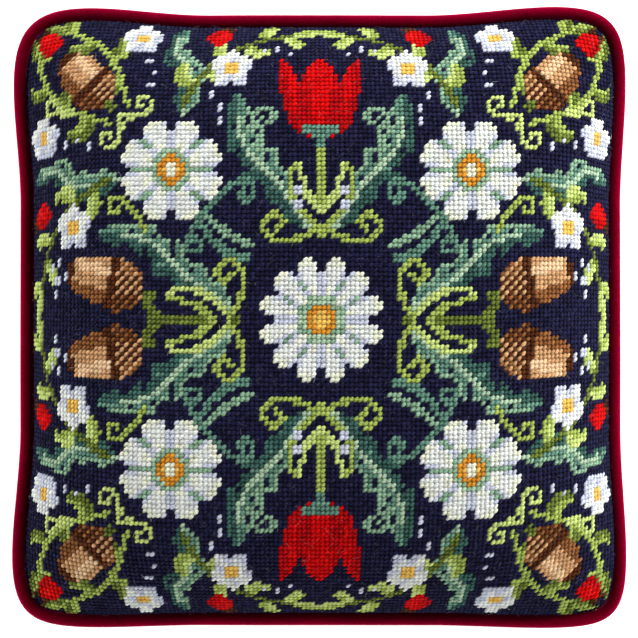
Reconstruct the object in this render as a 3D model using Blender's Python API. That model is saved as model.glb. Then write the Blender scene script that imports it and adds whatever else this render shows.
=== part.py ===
"""A square tapestry cushion lying on its back: needlepoint front, velvet back, piped seam.

Run it with: blender --background --python part.py

Frame: metres, +Z up. The origin is the middle of the flat spot that the cushion rests on.
+X is the face's right and +Y is its top. The face looks up, along +Z.

The plan is worked out in weave coordinates u and v, which run from -1 to 1 across the face,
from seam to seam. fullness(u, v) is 1 at the middle of the face and falls to 0 on the seam.
"""

import math

import bpy
import bmesh
import numpy as np

MM = 0.001

# Plan of the seam, half sizes from the middle to the ears beside each corner.
HALF_WIDTH = 164.5 * MM
HALF_HEIGHT = 166.3 * MM

# How far the middle of each side is drawn in by the filling.
DRAWN_IN = {"left": 6.8 * MM, "right": 5.0 * MM, "bottom": 2.8 * MM, "top": 7.0 * MM}

# The drawing-in is full up to this share of a side's half length, and gone from the second.
DRAWN_FLAT = 0.36
DRAWN_END = 0.90

# Crown: z = height * (1 - t ** FLATNESS) ** EASE across the middle of the face.
FLATNESS = 3.5
EASE = 0.68
SETTLED = 0.035

# How much each corner of the seam is rounded. The upper left one is the fullest.
CORNER_ROUNDING = {(-1, -1): 0.036, (1, -1): 0.026, (-1, 1): 0.062, (1, 1): 0.038}

FRONT_CROWN = 54.0 * MM
SEAM_HEIGHT = 42.0 * MM
BACK_FULLNESS = 1.2
PRESSED_BLEND = 0.09

# Each corner hangs a little lower than the seam beside it.
CORNER_DROOP = {
    (-1, -1): 3.4 * MM,
    (1, -1): 2.6 * MM,
    (-1, 1): 1.8 * MM,
    (1, 1): 3.0 * MM,
}

PANEL_THICKNESS = 2.6 * MM
PIPING_DIAMETER = 7.4 * MM
GAP = 0.3 * MM

# Mesh fineness. A bend of one radian takes as many points as this much straight seam.
AROUND = 92
RING_SHARES = (0.12, 0.28, 0.43, 0.56, 0.66, 0.75, 0.83, 0.90, 0.95, 0.985)
PIPING_POINTS = 120
BEND_WEIGHT = 60.0 * MM
PIPING_BEVEL = 3

NAVY = (0.016, 0.015, 0.045, 1.0)
CRIMSON = (0.30, 0.004, 0.022, 1.0)


def clear_scene():
    """Removes the objects that the file opened with."""
    for thing in list(bpy.data.objects):
        bpy.data.objects.remove(thing)


def cloth_material(name, colour, roughness, sheen):
    """A cloth finish: a rough Principled BSDF with a soft sheen."""
    material = bpy.data.materials.new(name)
    material.use_nodes = True
    shader = material.node_tree.nodes["Principled BSDF"]
    shader.inputs["Base Color"].default_value = colour
    shader.inputs["Roughness"].default_value = roughness
    shader.inputs["Metallic"].default_value = 0.0
    shader.inputs["Sheen Weight"].default_value = sheen
    material.diffuse_color = colour
    return material


def smoothstep(low, high, value):
    """0 below low, 1 above high, and smooth between them."""
    share = np.clip((value - low) / (high - low), 0.0, 1.0)
    return share * share * (3.0 - 2.0 * share)


def fullness(u, v):
    """1 in the middle of the face, 0 on the seam, with rounded corners."""
    across = np.abs(u) ** FLATNESS
    along = np.abs(v) ** FLATNESS
    rounding = np.zeros(np.broadcast(u, v).shape)
    for (side_u, side_v), share in CORNER_ROUNDING.items():
        rounding = np.where((np.sign(u) == side_u) & (np.sign(v) == side_v), share, rounding)
    return (1.0 - across) * (1.0 - along) - rounding * across * along


def plan(u, v, inset=0.0):
    """The place in plan of weave coordinates u, v, on a face made smaller by inset all round."""
    drawn_x = 1.0 - smoothstep(DRAWN_FLAT, DRAWN_END, np.abs(v))
    drawn_y = 1.0 - smoothstep(DRAWN_FLAT, DRAWN_END, np.abs(u))
    pull_x = DRAWN_IN["left"] + (DRAWN_IN["right"] - DRAWN_IN["left"]) * (1.0 + u) / 2.0
    pull_y = DRAWN_IN["bottom"] + (DRAWN_IN["top"] - DRAWN_IN["bottom"]) * (1.0 + v) / 2.0
    x = u * (HALF_WIDTH - inset - pull_x * drawn_x)
    y = v * (HALF_HEIGHT - inset - pull_y * drawn_y)
    return x, y


def seam_height(u, v):
    """The height of the seam's surface, which droops towards each corner."""
    height = np.full(np.shape(u), SEAM_HEIGHT)
    for (side_u, side_v), droop in CORNER_DROOP.items():
        towards = np.clip(u * side_u, 0.0, None) * np.clip(v * side_v, 0.0, None)
        height = height - droop * towards**2
    return height


def front_surface(u, v, inset=0.0):
    """The crown of the face, made smaller by inset all round and lower by inset on top."""
    x, y = plan(u, v, inset)
    settled_v = v + SETTLED * (1.0 - v * v)
    swell = np.clip(fullness(u, settled_v) + fullness(u, v), 0.0, None) / 2.0
    z = seam_height(u, v) + (FRONT_CROWN - inset) * swell**EASE
    return np.stack([x, y, z], axis=-1)


def pressed(swell):
    """swell held down to 1, with a soft bend where it meets the floor."""
    low = 1.0 - PRESSED_BLEND
    bend = np.clip(swell - low, 0.0, 2.0 * PRESSED_BLEND)
    return np.minimum(swell - bend**2 / (4.0 * PRESSED_BLEND), 1.0)


def back_surface(u, v):
    """The back, pressed flat at z = 0 where it rests."""
    x, y = plan(u, v)
    swell = BACK_FULLNESS * np.clip(fullness(u, v), 0.0, None) ** EASE
    z = (seam_height(u, v) - GAP / 2.0) * (1.0 - pressed(swell))
    return np.stack([x, y, z], axis=-1)


def seam_weave_points(count):
    """Weave coordinates of count points round the seam, closer together where it bends."""
    angle = np.linspace(0.0, 2.0 * math.pi, 16 * count, endpoint=False)
    low, high = np.zeros(angle.shape), np.full(angle.shape, 1.5)
    for _ in range(50):
        middle = (low + high) / 2.0
        u, v = middle * np.cos(angle), middle * np.sin(angle)
        inside = (np.maximum(np.abs(u), np.abs(v)) < 1.0) & (fullness(u, v) > 0.0)
        low, high = np.where(inside, middle, low), np.where(inside, high, middle)
    u, v = low * np.cos(angle), low * np.sin(angle)
    x, y = plan(u, v)
    step = np.diff(np.append(x, x[0])) + 1j * np.diff(np.append(y, y[0]))
    bend = np.abs(np.angle(np.roll(step, -1) / step))
    along = np.concatenate([[0.0], np.cumsum(np.abs(step) + BEND_WEIGHT * bend)])
    wanted = np.arange(count) * along[-1] / count
    closed_u, closed_v = np.append(u, u[0]), np.append(v, v[0])
    return np.interp(wanted, along, closed_u), np.interp(wanted, along, closed_v)


def rings_over(surface, seam_u, seam_v, **options):
    """Rings of points on a surface, from its pole out to the last ring before the seam."""
    return [surface(share * seam_u, share * seam_v, **options) for share in RING_SHARES]


def pole_of(surface, **options):
    """The middle point of a surface."""
    return surface(np.array([0.0]), np.array([0.0]), **options)[0]


def lofted_solid(name, first_pole, rings, last_pole, material):
    """A closed solid through rings of points, closed by a fan of triangles at each pole."""
    shape = bmesh.new()
    loops = [[shape.verts.new(point) for point in ring] for ring in rings]
    for lower, upper in zip(loops, loops[1:]):
        for i in range(len(lower)):
            j = (i + 1) % len(lower)
            shape.faces.new((lower[i], lower[j], upper[j], upper[i]))
    for pole, loop in ((first_pole, loops[0]), (last_pole, loops[-1])):
        tip = shape.verts.new(pole)
        for i in range(len(loop)):
            shape.faces.new((tip, loop[i], loop[(i + 1) % len(loop)]))
    bmesh.ops.recalc_face_normals(shape, faces=shape.faces)
    mesh = bpy.data.meshes.new(name)
    shape.to_mesh(mesh)
    shape.free()
    mesh.materials.append(material)
    mesh.shade_smooth()
    mesh.set_sharp_from_angle(angle=math.radians(50.0))
    return linked(name, mesh)


def linked(name, data):
    """A new object for some data, placed in the scene."""
    thing = bpy.data.objects.new(name, data)
    bpy.context.scene.collection.objects.link(thing)
    return thing


def seam_line(seam_u, seam_v, outward):
    """The seam's points, moved outwards in plan by a distance."""
    x, y = plan(seam_u, seam_v)
    along_x = np.roll(x, -1) - np.roll(x, 1)
    along_y = np.roll(y, -1) - np.roll(y, 1)
    length = np.hypot(along_x, along_y)
    x = x + outward * along_y / length
    y = y - outward * along_x / length
    return np.stack([x, y, seam_height(seam_u, seam_v)], axis=-1)


def build_tapestry_panel(seam_u, seam_v):
    """The stitched canvas: a domed sheet whose edge stands on the seam."""
    outer = rings_over(front_surface, seam_u, seam_v)
    inner = rings_over(front_surface, seam_u, seam_v, inset=PANEL_THICKNESS)
    outer_edge = front_surface(seam_u, seam_v)
    inner_edge = front_surface(seam_u, seam_v, inset=PANEL_THICKNESS)
    for edge in (outer_edge, inner_edge):
        edge[:, 2] = seam_height(seam_u, seam_v) + GAP / 2.0
    wool = cloth_material("needlepoint_wool", NAVY, roughness=0.9, sheen=0.15)
    return lofted_solid(
        "tapestry_panel",
        pole_of(front_surface),
        outer + [outer_edge, inner_edge] + inner[::-1],
        pole_of(front_surface, inset=PANEL_THICKNESS),
        wool,
    )


def build_cushion(seam_u, seam_v):
    """The filled cushion with its velvet back; a ledge at the seam carries the panel."""
    under_panel = PANEL_THICKNESS + GAP
    crown = rings_over(front_surface, seam_u, seam_v, inset=under_panel)
    back = rings_over(back_surface, seam_u, seam_v)
    ledge_inner = front_surface(seam_u, seam_v, inset=under_panel)
    ledge_outer = back_surface(seam_u, seam_v)
    ledge_inner[:, 2] = ledge_outer[:, 2]
    velvet = cloth_material("velvet_back", CRIMSON, roughness=0.8, sheen=0.6)
    return lofted_solid(
        "cushion",
        pole_of(front_surface, inset=under_panel),
        crown + [ledge_inner, ledge_outer] + back[::-1],
        pole_of(back_surface),
        velvet,
    )


def build_piping():
    """The velvet-covered cord sewn into the seam: one closed ring of round section."""
    seam_u, seam_v = seam_weave_points(PIPING_POINTS)
    line = seam_line(seam_u, seam_v, outward=PIPING_DIAMETER / 2.0 + GAP)
    curve = bpy.data.curves.new("piping", "CURVE")
    curve.dimensions = "3D"
    curve.twist_mode = "Z_UP"
    curve.bevel_depth = PIPING_DIAMETER / 2.0
    curve.bevel_resolution = PIPING_BEVEL
    spline = curve.splines.new("POLY")
    spline.points.add(len(line) - 1)
    for point, place in zip(spline.points, line):
        point.co = (*place, 1.0)
    spline.use_cyclic_u = True
    velvet = cloth_material("velvet_piping", CRIMSON, roughness=0.75, sheen=0.7)
    curve.materials.append(velvet)
    return linked("piping", curve)


def main():
    """Builds the three sewn pieces."""
    clear_scene()
    seam_u, seam_v = seam_weave_points(AROUND)
    build_cushion(seam_u, seam_v)
    build_tapestry_panel(seam_u, seam_v)
    build_piping()


main()
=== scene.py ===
"""Looks of a square tapestry cushion that lies on its back, seen square-on from above.

The cushion has a face of wool tent stitches on canvas, a filled body with a velvet back, and a
velvet-covered piping cord sewn into the seam. Lengths are metres, with +Z up. The origin is the middle
of the flat spot that the cushion rests on, +X is the face's right and +Y its top.

Weave coordinates u and v run from -1 to 1 across the face, from seam to seam. The fullness of the
cushion is 1 in the middle of the face and falls to 0 on the seam.
"""

import logging
import math
from dataclasses import dataclass, field
from enum import Enum, IntEnum
from typing import Any

import bpy
import numpy as np
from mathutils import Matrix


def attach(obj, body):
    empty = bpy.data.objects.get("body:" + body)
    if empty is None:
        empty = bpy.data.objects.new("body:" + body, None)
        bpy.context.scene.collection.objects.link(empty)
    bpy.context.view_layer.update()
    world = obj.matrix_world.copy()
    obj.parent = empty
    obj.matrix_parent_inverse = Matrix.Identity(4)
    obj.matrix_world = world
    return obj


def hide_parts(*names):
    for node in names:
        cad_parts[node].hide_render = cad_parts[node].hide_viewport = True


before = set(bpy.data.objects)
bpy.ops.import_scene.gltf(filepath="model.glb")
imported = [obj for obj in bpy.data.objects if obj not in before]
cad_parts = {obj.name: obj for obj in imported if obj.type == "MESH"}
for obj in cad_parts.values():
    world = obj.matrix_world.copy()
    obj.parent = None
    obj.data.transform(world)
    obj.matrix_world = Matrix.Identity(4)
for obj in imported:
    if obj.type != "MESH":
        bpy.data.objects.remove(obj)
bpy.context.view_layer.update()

MM = 0.001
BODY = "root"
BAKE_MAP = "OFBake"

# Stitches along each side of the face.
STITCHES = 140

# The corners of a cell of a grid, anticlockwise.
CELL = ((0, 0), (1, 0), (1, 1), (0, 1))

# Most of a smooth noise lies between these.
NOISE_LOW = 0.2
NOISE_HIGH = 0.8

log = logging.getLogger("tapestry_cushion")


# Nodes


def linear(red: int, green: int, blue: int) -> tuple[float, float, float, float]:
    """A colour given as it shows on a screen, turned into the light that a shader takes.

    Args:
        red: Red, from 0 to 255.
        green: Green, from 0 to 255.
        blue: Blue, from 0 to 255.

    Returns:
        The colour as red, green, blue and alpha, from 0 to 1.
    """
    shown = [part / 255.0 for part in (red, green, blue)]
    light = [part / 12.92 if part <= 0.04045 else ((part + 0.055) / 1.055) ** 2.4 for part in shown]
    return (light[0], light[1], light[2], 1.0)


class Socket:
    """An output of a node, so that node maths reads as a Python expression."""

    def __init__(self, board: "NodeBoard", port: bpy.types.NodeSocket) -> None:
        """Wraps one output socket of a tree."""
        self.board = board
        self.port = port

    def _maths(self, operation: str, *values: Any) -> "Socket":
        """Adds a Math node over some values."""
        return self.board.add("ShaderNodeMath", {"operation": operation}, dict(enumerate(values)))

    def __add__(self, other: Any) -> "Socket":
        """This value plus another."""
        return self._maths("ADD", self, other)

    def __radd__(self, other: Any) -> "Socket":
        """A number plus this value."""
        return self._maths("ADD", other, self)

    def __sub__(self, other: Any) -> "Socket":
        """This value less another."""
        return self._maths("SUBTRACT", self, other)

    def __rsub__(self, other: Any) -> "Socket":
        """A number less this value."""
        return self._maths("SUBTRACT", other, self)

    def __mul__(self, other: Any) -> "Socket":
        """This value times another."""
        return self._maths("MULTIPLY", self, other)

    def __rmul__(self, other: Any) -> "Socket":
        """A number times this value."""
        return self._maths("MULTIPLY", other, self)

    def __truediv__(self, other: Any) -> "Socket":
        """This value over another."""
        return self._maths("DIVIDE", self, other)

    def __rtruediv__(self, other: Any) -> "Socket":
        """A number over this value."""
        return self._maths("DIVIDE", other, self)

    def __pow__(self, other: Any) -> "Socket":
        """This value to a power."""
        return self._maths("POWER", self, other)

    def sine(self) -> "Socket":
        """The sine of this angle."""
        return self._maths("SINE", self)

    def size(self) -> "Socket":
        """This value without its sign."""
        return self._maths("ABSOLUTE", self)

    def spread(self, low: float, high: float, to_low: float = 0.0, to_high: float = 1.0) -> "Socket":
        """This value moved from one range to another and held inside it.

        Args:
            low: The value that becomes to_low.
            high: The value that becomes to_high.
            to_low: The new range's first end.
            to_high: The new range's other end.

        Returns:
            The value in the new range.
        """
        return self.board.add(
            "ShaderNodeMapRange",
            {"clamp": True},
            {"Value": self, "From Min": low, "From Max": high, "To Min": to_low, "To Max": to_high},
        )


class NodeBoard:
    """A node tree that is built by adding nodes with their settings and the values of their sockets."""

    def __init__(self, tree: bpy.types.NodeTree) -> None:
        """Works on a tree."""
        self.tree = tree

    @staticmethod
    def _port(ports: Any, key: int | str) -> bpy.types.NodeSocket:
        """The socket in use with that number or name.

        Args:
            ports: A node's inputs or outputs.
            key: The port's number among those in use, or its name.

        Returns:
            The port.
        """
        if isinstance(key, int):
            return ports[key]
        return next(port for port in ports if port.enabled and port.name == key)

    def add(
        self,
        kind: str,
        settings: dict[str, Any] | None = None,
        sockets: dict[int | str, Any] | None = None,
        output: int | str | None = None,
    ) -> Socket:
        """Adds a node.

        Args:
            kind: The node's type.
            settings: Its settings, set first. "stops" are a ramp's stops, as place and colour, and
                "curve" a curve's points.
            sockets: The values or links of its inputs, by number or name.
            output: The output that is wanted, or None for the first that is in use.

        Returns:
            That output.
        """
        node = self.tree.nodes.new(kind)
        for name, value in (settings or {}).items():
            if name == "stops":
                ramp = node.color_ramp
                while len(ramp.elements) < len(value):
                    ramp.elements.new(0.5)
                for stop, (place, colour) in zip(ramp.elements, value):
                    stop.position, stop.color = place, colour
            elif name == "curve":
                curve = node.mapping.curves[0]
                curve.points[0].location, curve.points[1].location = value[0], value[-1]
                for place in value[1:-1]:
                    curve.points.new(*place)
                node.mapping.update()
            else:
                setattr(node, name, value)
        for key, value in (sockets or {}).items():
            port = self._port(node.inputs, key)
            if isinstance(value, Socket):
                self.tree.links.new(value.port, port)
            else:
                port.default_value = value
        if output is None:
            return Socket(self, next(port for port in node.outputs if port.enabled))
        return Socket(self, self._port(node.outputs, output))

    def beside(self, output: Socket, name: str) -> Socket:
        """Another output of the node that an output belongs to."""
        return Socket(self, self._port(output.port.node.outputs, name))

    def vector(self, operation: str, *values: Any) -> Socket:
        """Adds a Vector Math node over some vectors."""
        return self.add("ShaderNodeVectorMath", {"operation": operation}, dict(enumerate(values)))

    def axes(self, vector: Socket) -> tuple[Socket, Socket, Socket]:
        """The three numbers of a vector."""
        whole = self.add("ShaderNodeSeparateXYZ", sockets={"Vector": vector})
        return tuple(Socket(self, port) for port in whole.port.node.outputs)

    def joined(self, x: Any, y: Any, z: Any) -> Socket:
        """A vector of three numbers."""
        return self.add("ShaderNodeCombineXYZ", sockets={"X": x, "Y": y, "Z": z})


class MaterialBoard(NodeBoard):
    """The node tree of one new material, with its Principled shader."""

    def __init__(self, name: str, shown: tuple[float, float, float, float]) -> None:
        """Starts a material.

        Args:
            name: The material's name.
            shown: Its plain colour, for viewports.
        """
        self.material = bpy.data.materials.new(name)
        self.material.use_nodes = True
        self.material.diffuse_color = shown
        super().__init__(self.material.node_tree)
        self.shader = self.tree.nodes["Principled BSDF"]

    def object_place(self) -> Socket:
        """The place on the object, in metres."""
        return self.add("ShaderNodeTexCoord", output="Object")

    def attribute(self, name: str, output: str) -> Socket:
        """A piece's own attribute, as Color, Vector or Fac."""
        return self.add("ShaderNodeAttribute", {"attribute_name": name}, output=output)

    def map_place(self, name: str) -> Socket:
        """The place on one of the piece's UV maps."""
        return self.add("ShaderNodeUVMap", {"uv_map": name})

    def noise(self, place: Socket, scale: float, detail: float = 2.0, roughness: float = 0.5) -> Socket:
        """Smooth noise from 0 to 1 at a place."""
        sockets = {"Vector": place, "Scale": scale, "Detail": detail, "Roughness": roughness}
        return self.add("ShaderNodeTexNoise", sockets=sockets, output="Fac")

    def blended(self, share: Any, first: Any, second: Any, kind: str = "MIX") -> Socket:
        """A Mix node over two colours."""
        settings = {"data_type": "RGBA", "blend_type": kind}
        return self.add("ShaderNodeMix", settings, {"Factor": share, "A": first, "B": second}, "Result")

    def shaded(self, colour: Any, light: Socket) -> Socket:
        """A colour made lighter or darker by a number."""
        return self.add("ShaderNodeVectorMath", {"operation": "SCALE"}, {"Vector": colour, "Scale": light})

    def raised(self, height: Socket, distance: float, strength: float) -> Socket:
        """The normal of a surface with a relief of that depth."""
        sockets = {"Height": height, "Distance": distance, "Strength": strength}
        return self.add("ShaderNodeBump", sockets=sockets)

    def finish(self, **values: Any) -> bpy.types.Material:
        """Sets the shader's sockets.

        Args:
            values: Values or links, by the socket's name with _ for each space.

        Returns:
            The finished material.
        """
        for name, value in values.items():
            port = self.shader.inputs[name.replace("_", " ")]
            if isinstance(value, Socket):
                self.tree.links.new(value.port, port)
            else:
                port.default_value = value
        return self.material


class GeometryBoard(NodeBoard):
    """A Geometry Nodes tree with named inputs, which ends in plain meshes with one finish."""

    SOCKETS = {"size": "NodeSocketFloat", "count": "NodeSocketInt", "finish": "NodeSocketMaterial"}

    def __init__(self, name: str, **inputs: str) -> None:
        """Starts a tree.

        Args:
            name: The tree's name.
            inputs: The kind of each input, by its name with _ for each space.
        """
        super().__init__(bpy.data.node_groups.new(name, "GeometryNodeTree"))
        ports = self.tree.interface
        ports.new_socket("Geometry", in_out="INPUT", socket_type="NodeSocketGeometry")
        ports.new_socket("Geometry", in_out="OUTPUT", socket_type="NodeSocketGeometry")
        self.keys: dict[str, str] = {}
        for label, kind in inputs.items():
            label = label.replace("_", " ")
            port = ports.new_socket(label, in_out="INPUT", socket_type=self.SOCKETS[kind])
            self.keys[label] = port.identifier
        self.source = self.tree.nodes.new("NodeGroupInput")

    def given(self, name: str) -> Socket:
        """One of the tree's inputs."""
        return Socket(self, self._port(self.source.outputs, name))

    def attribute(self, name: str, kind: str) -> Socket:
        """A named attribute of the geometry."""
        return self.add("GeometryNodeInputNamedAttribute", {"data_type": kind}, {"Name": name})

    def random(self, seed: int) -> Socket:
        """A random vector from -1 to 1 for each point."""
        ends = {"Min": (-1.0, -1.0, -1.0), "Max": (1.0, 1.0, 1.0), "Seed": seed}
        return self.add("FunctionNodeRandomValue", {"data_type": "FLOAT_VECTOR"}, ends)

    def stored(self, geometry: Socket, name: str, kind: str, value: Socket) -> Socket:
        """Keeps a value on each point of a geometry, as a named attribute."""
        sockets = {"Geometry": geometry, "Name": name, "Value": value}
        return self.add("GeometryNodeStoreNamedAttribute", {"data_type": kind, "domain": "POINT"}, sockets)

    def tube(self, line: Socket, sides: Any, thickness: Socket, swell: Any = 1.0) -> Socket:
        """A closed tube about a line.

        Args:
            line: The curve in its middle.
            sides: How many sides it has.
            thickness: How thick it is.
            swell: How many times thicker it is at each point of the line.

        Returns:
            The tube.
        """
        sizes = {"Resolution": sides, "Radius": thickness * 0.5}
        ring = self.add("GeometryNodeCurvePrimitiveCircle", {"mode": "RADIUS"}, sizes)
        sockets = {"Curve": line, "Profile Curve": ring, "Scale": swell, "Fill Caps": True}
        return self.add("GeometryNodeCurveToMesh", sockets=sockets)

    def turned(self, rotation: Socket, by: Socket) -> Socket:
        """A rotation turned further about its own axes.

        Args:
            rotation: The rotation.
            by: The three angles to turn it by.

        Returns:
            The new rotation.
        """
        angles = self.add("FunctionNodeEulerToRotation", sockets={"Euler": by})
        sockets = {"Rotation": rotation, "Rotate By": angles}
        return self.add("FunctionNodeRotateRotation", {"rotation_space": "LOCAL"}, sockets)

    def copies(self, points: Socket, shape: Socket, rotation: Socket, size: Socket) -> Socket:
        """A turned and sized copy of a shape on each point."""
        sockets = {"Points": points, "Instance": shape, "Rotation": rotation, "Scale": size}
        return self.add("GeometryNodeInstanceOnPoints", sockets=sockets)

    def end(self, geometry: Socket) -> None:
        """Makes the copies real, gives them the finish and ends the tree.

        Args:
            geometry: The geometry that the tree hands over.
        """
        real = self.add("GeometryNodeRealizeInstances", sockets={"Geometry": geometry})
        sockets = {"Geometry": real, "Material": self.given("Finish")}
        worn = self.add("GeometryNodeSetMaterial", sockets=sockets)
        result = self.tree.nodes.new("NodeGroupOutput")
        self.tree.links.new(worn.port, result.inputs[0])

    def grown(self, name: str, base: bpy.types.Object, **values: Any) -> bpy.types.Object:
        """Runs the tree over an object, which it uses up.

        Args:
            name: The name of the piece.
            base: The object to grow on.
            values: The tree's inputs, by name with _ for each space.

        Returns:
            The result as a plain mesh object.
        """
        modifier = base.modifiers.new("grown", "NODES")
        modifier.node_group = self.tree
        for label, value in values.items():
            modifier[self.keys[label.replace("_", " ")]] = value
        graph = bpy.context.evaluated_depsgraph_get()
        mesh = bpy.data.meshes.new_from_object(base.evaluated_get(graph), depsgraph=graph)
        bpy.data.objects.remove(base)
        mesh.name = name
        return placed(name, mesh)


# Meshes


def placed(name: str, mesh: bpy.types.Mesh) -> bpy.types.Object:
    """A new object for a mesh, in the scene.

    Args:
        name: The object's name.
        mesh: Its mesh.

    Returns:
        The object, at the origin.
    """
    piece = bpy.data.objects.new(name, mesh)
    bpy.context.scene.collection.objects.link(piece)
    return piece


def sewn(
    name: str, points: np.ndarray, faces: Any, material: bpy.types.Material | None = None
) -> bpy.types.Object:
    """A mesh object from points and faces.

    Args:
        name: The object's name.
        points: Places in metres, of shape (count, 3).
        faces: Rows of point numbers.
        material: Its material, if it has one yet.

    Returns:
        The object, shaded smooth.
    """
    mesh = bpy.data.meshes.new(name)
    mesh.from_pydata(np.asarray(points, float).tolist(), [], np.asarray(faces).tolist())
    mesh.shade_smooth()
    if material is not None:
        mesh.materials.append(material)
    return placed(name, mesh)


def mapped(piece: bpy.types.Object, name: str, places: np.ndarray) -> None:
    """Gives a piece a UV map, one place for each face corner."""
    layer = piece.data.uv_layers.new(name=name)
    layer.uv.foreach_set("vector", np.asarray(places, np.float32).ravel())


def corner_points(piece: bpy.types.Object) -> np.ndarray:
    """The point number at each face corner of a piece.

    Args:
        piece: A mesh object.

    Returns:
        Point numbers, one for each face corner.
    """
    found = np.empty(len(piece.data.loops), np.int32)
    piece.data.loops.foreach_get("vertex_index", found)
    return found


def face_values(piece: bpy.types.Object, name: str, kind: str, values: np.ndarray) -> None:
    """Gives each face of a piece a value, such as its colour.

    Args:
        piece: A mesh object.
        name: The attribute's name.
        kind: The attribute's type in Blender.
        values: One row for each face.
    """
    layer = piece.data.attributes.new(name, kind, "FACE")
    part = "color" if kind == "FLOAT_COLOR" else "vector"
    layer.data.foreach_set(part, values.astype(np.float32).ravel())


def level_square(
    name: str, reach: float, height: float, material: bpy.types.Material | None = None
) -> bpy.types.Object:
    """A level square about the origin, such as a floor.

    Args:
        name: The object's name.
        reach: How far it goes each way, in metres.
        height: Its height, in metres.
        material: Its material, if it has one.

    Returns:
        The square, as a mesh object.
    """
    corners = np.array([[(2 * x - 1) * reach, (2 * y - 1) * reach, height] for x, y in CELL])
    return sewn(name, corners, np.array([[0, 1, 2, 3]]), material)


def smoothstep(low: float, high: float, value: np.ndarray) -> np.ndarray:
    """0 below low, 1 above high, and smooth between them."""
    share = np.clip((value - low) / (high - low), 0.0, 1.0)
    return share * share * (3.0 - 2.0 * share)


# Form


@dataclass(frozen=True)
class CushionForm:
    """The cushion's form: that of its solids, with a slight bulge and soft lumps of the face besides.

    The plan is a square whose sides are drawn in, the crown stands on the seam, and the back is
    pressed flat where it rests. The overhangs are how far the face bulges over the piping on each
    side. Each lump of the filling is a wave, with its turns across and upward, its start and its
    height. Each rounding and each droop belongs to the corner on the sides that it names.
    """

    half_width: float = 164.5 * MM
    half_height: float = 166.3 * MM
    drawn_left: float = 6.8 * MM
    drawn_right: float = 5.0 * MM
    drawn_bottom: float = 2.8 * MM
    drawn_top: float = 7.0 * MM
    drawn_flat: float = 0.36
    drawn_end: float = 0.90
    flatness: float = 3.5
    ease: float = 0.68
    settled: float = 0.035
    front_crown: float = 54.0 * MM
    seam: float = 42.0 * MM
    back_fullness: float = 1.2
    pressed_blend: float = 0.09
    gap: float = 0.3 * MM
    roundings: tuple[tuple[int, int, float], ...] = (
        (-1, -1, 0.036),
        (1, -1, 0.026),
        (-1, 1, 0.062),
        (1, 1, 0.038),
    )
    droops: tuple[tuple[int, int, float], ...] = (
        (-1, -1, 3.4 * MM),
        (1, -1, 2.6 * MM),
        (-1, 1, 1.8 * MM),
        (1, 1, 3.0 * MM),
    )
    overhang_left: float = 0.3 * MM
    overhang_right: float = 1.7 * MM
    overhang_bottom: float = 1.1 * MM
    overhang_top: float = 1.2 * MM
    overhang_height: float = 0.09
    overhang_fade: int = 5
    lumps: tuple[tuple[float, float, float, float], ...] = (
        (5.2, 1.7, 0.4, 0.40 * MM),
        (-2.3, 6.1, 1.9, 0.35 * MM),
        (9.4, -7.3, 4.1, 0.25 * MM),
        (12.6, 10.7, 2.6, 0.20 * MM),
    )
    search_steps: int = 50
    corner_pull: int = 6

    def fullness(self, u: np.ndarray, v: np.ndarray) -> np.ndarray:
        """1 in the middle of the face, 0 on the seam.

        Args:
            u: Weave coordinate across.
            v: Weave coordinate up.

        Returns:
            The fullness at each place.
        """
        across, along = np.abs(u) ** self.flatness, np.abs(v) ** self.flatness
        rounding = np.zeros(np.broadcast(u, v).shape)
        for side_u, side_v, share in self.roundings:
            rounding = np.where((np.sign(u) == side_u) & (np.sign(v) == side_v), share, rounding)
        return (1.0 - across) * (1.0 - along) - rounding * across * along

    def plan(self, u: np.ndarray, v: np.ndarray, inset: float = 0.0) -> tuple[np.ndarray, np.ndarray]:
        """Where weave coordinates lie in plan, on a face made smaller by inset all round.

        Args:
            u: Weave coordinate across.
            v: Weave coordinate up.
            inset: How far the edge is drawn in, in metres.

        Returns:
            The places' x and y, in metres.
        """
        drawn_x = 1.0 - smoothstep(self.drawn_flat, self.drawn_end, np.abs(v))
        drawn_y = 1.0 - smoothstep(self.drawn_flat, self.drawn_end, np.abs(u))
        pull_x = self.drawn_left + (self.drawn_right - self.drawn_left) * (1.0 + u) / 2.0
        pull_y = self.drawn_bottom + (self.drawn_top - self.drawn_bottom) * (1.0 + v) / 2.0
        x = u * (self.half_width - inset - pull_x * drawn_x)
        y = v * (self.half_height - inset - pull_y * drawn_y)
        return x, y

    def seam_height(self, u: np.ndarray, v: np.ndarray) -> np.ndarray:
        """The height of the seam's surface, which droops towards each corner.

        Args:
            u: Weave coordinate across.
            v: Weave coordinate up.

        Returns:
            The heights, in metres.
        """
        height = np.full(np.shape(u), self.seam)
        for side_u, side_v, droop in self.droops:
            towards = np.clip(u * side_u, 0.0, None) * np.clip(v * side_v, 0.0, None)
            height = height - droop * towards**2
        return height

    def front(self, u: np.ndarray, v: np.ndarray, inset: float = 0.0) -> np.ndarray:
        """The crown of the face, lower and smaller by inset, bulging over the piping beside the seam.

        Args:
            u: Weave coordinate across.
            v: Weave coordinate up.
            inset: How far the surface lies inside the face, in metres.

        Returns:
            Places in metres.
        """
        x, y = self.plan(u, v, inset)
        settled_v = v + self.settled * (1.0 - v * v)
        swell = np.clip(self.fullness(u, settled_v) + self.fullness(u, v), 0.0, None) / 2.0
        rise = swell**self.ease
        bulge = rise / self.overhang_height * np.exp(1.0 - rise / self.overhang_height)
        fade = self.overhang_fade
        x = x + bulge * u**fade * np.where(u < 0.0, self.overhang_left, self.overhang_right)
        y = y + bulge * v**fade * np.where(v < 0.0, self.overhang_bottom, self.overhang_top)
        lumpy = sum(high * np.sin(a * u + b * v + start) for a, b, start, high in self.lumps)
        z = self.seam_height(u, v) + (self.front_crown - inset) * rise + lumpy * np.sqrt(rise)
        return np.stack([x, y, z], axis=-1)

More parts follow.
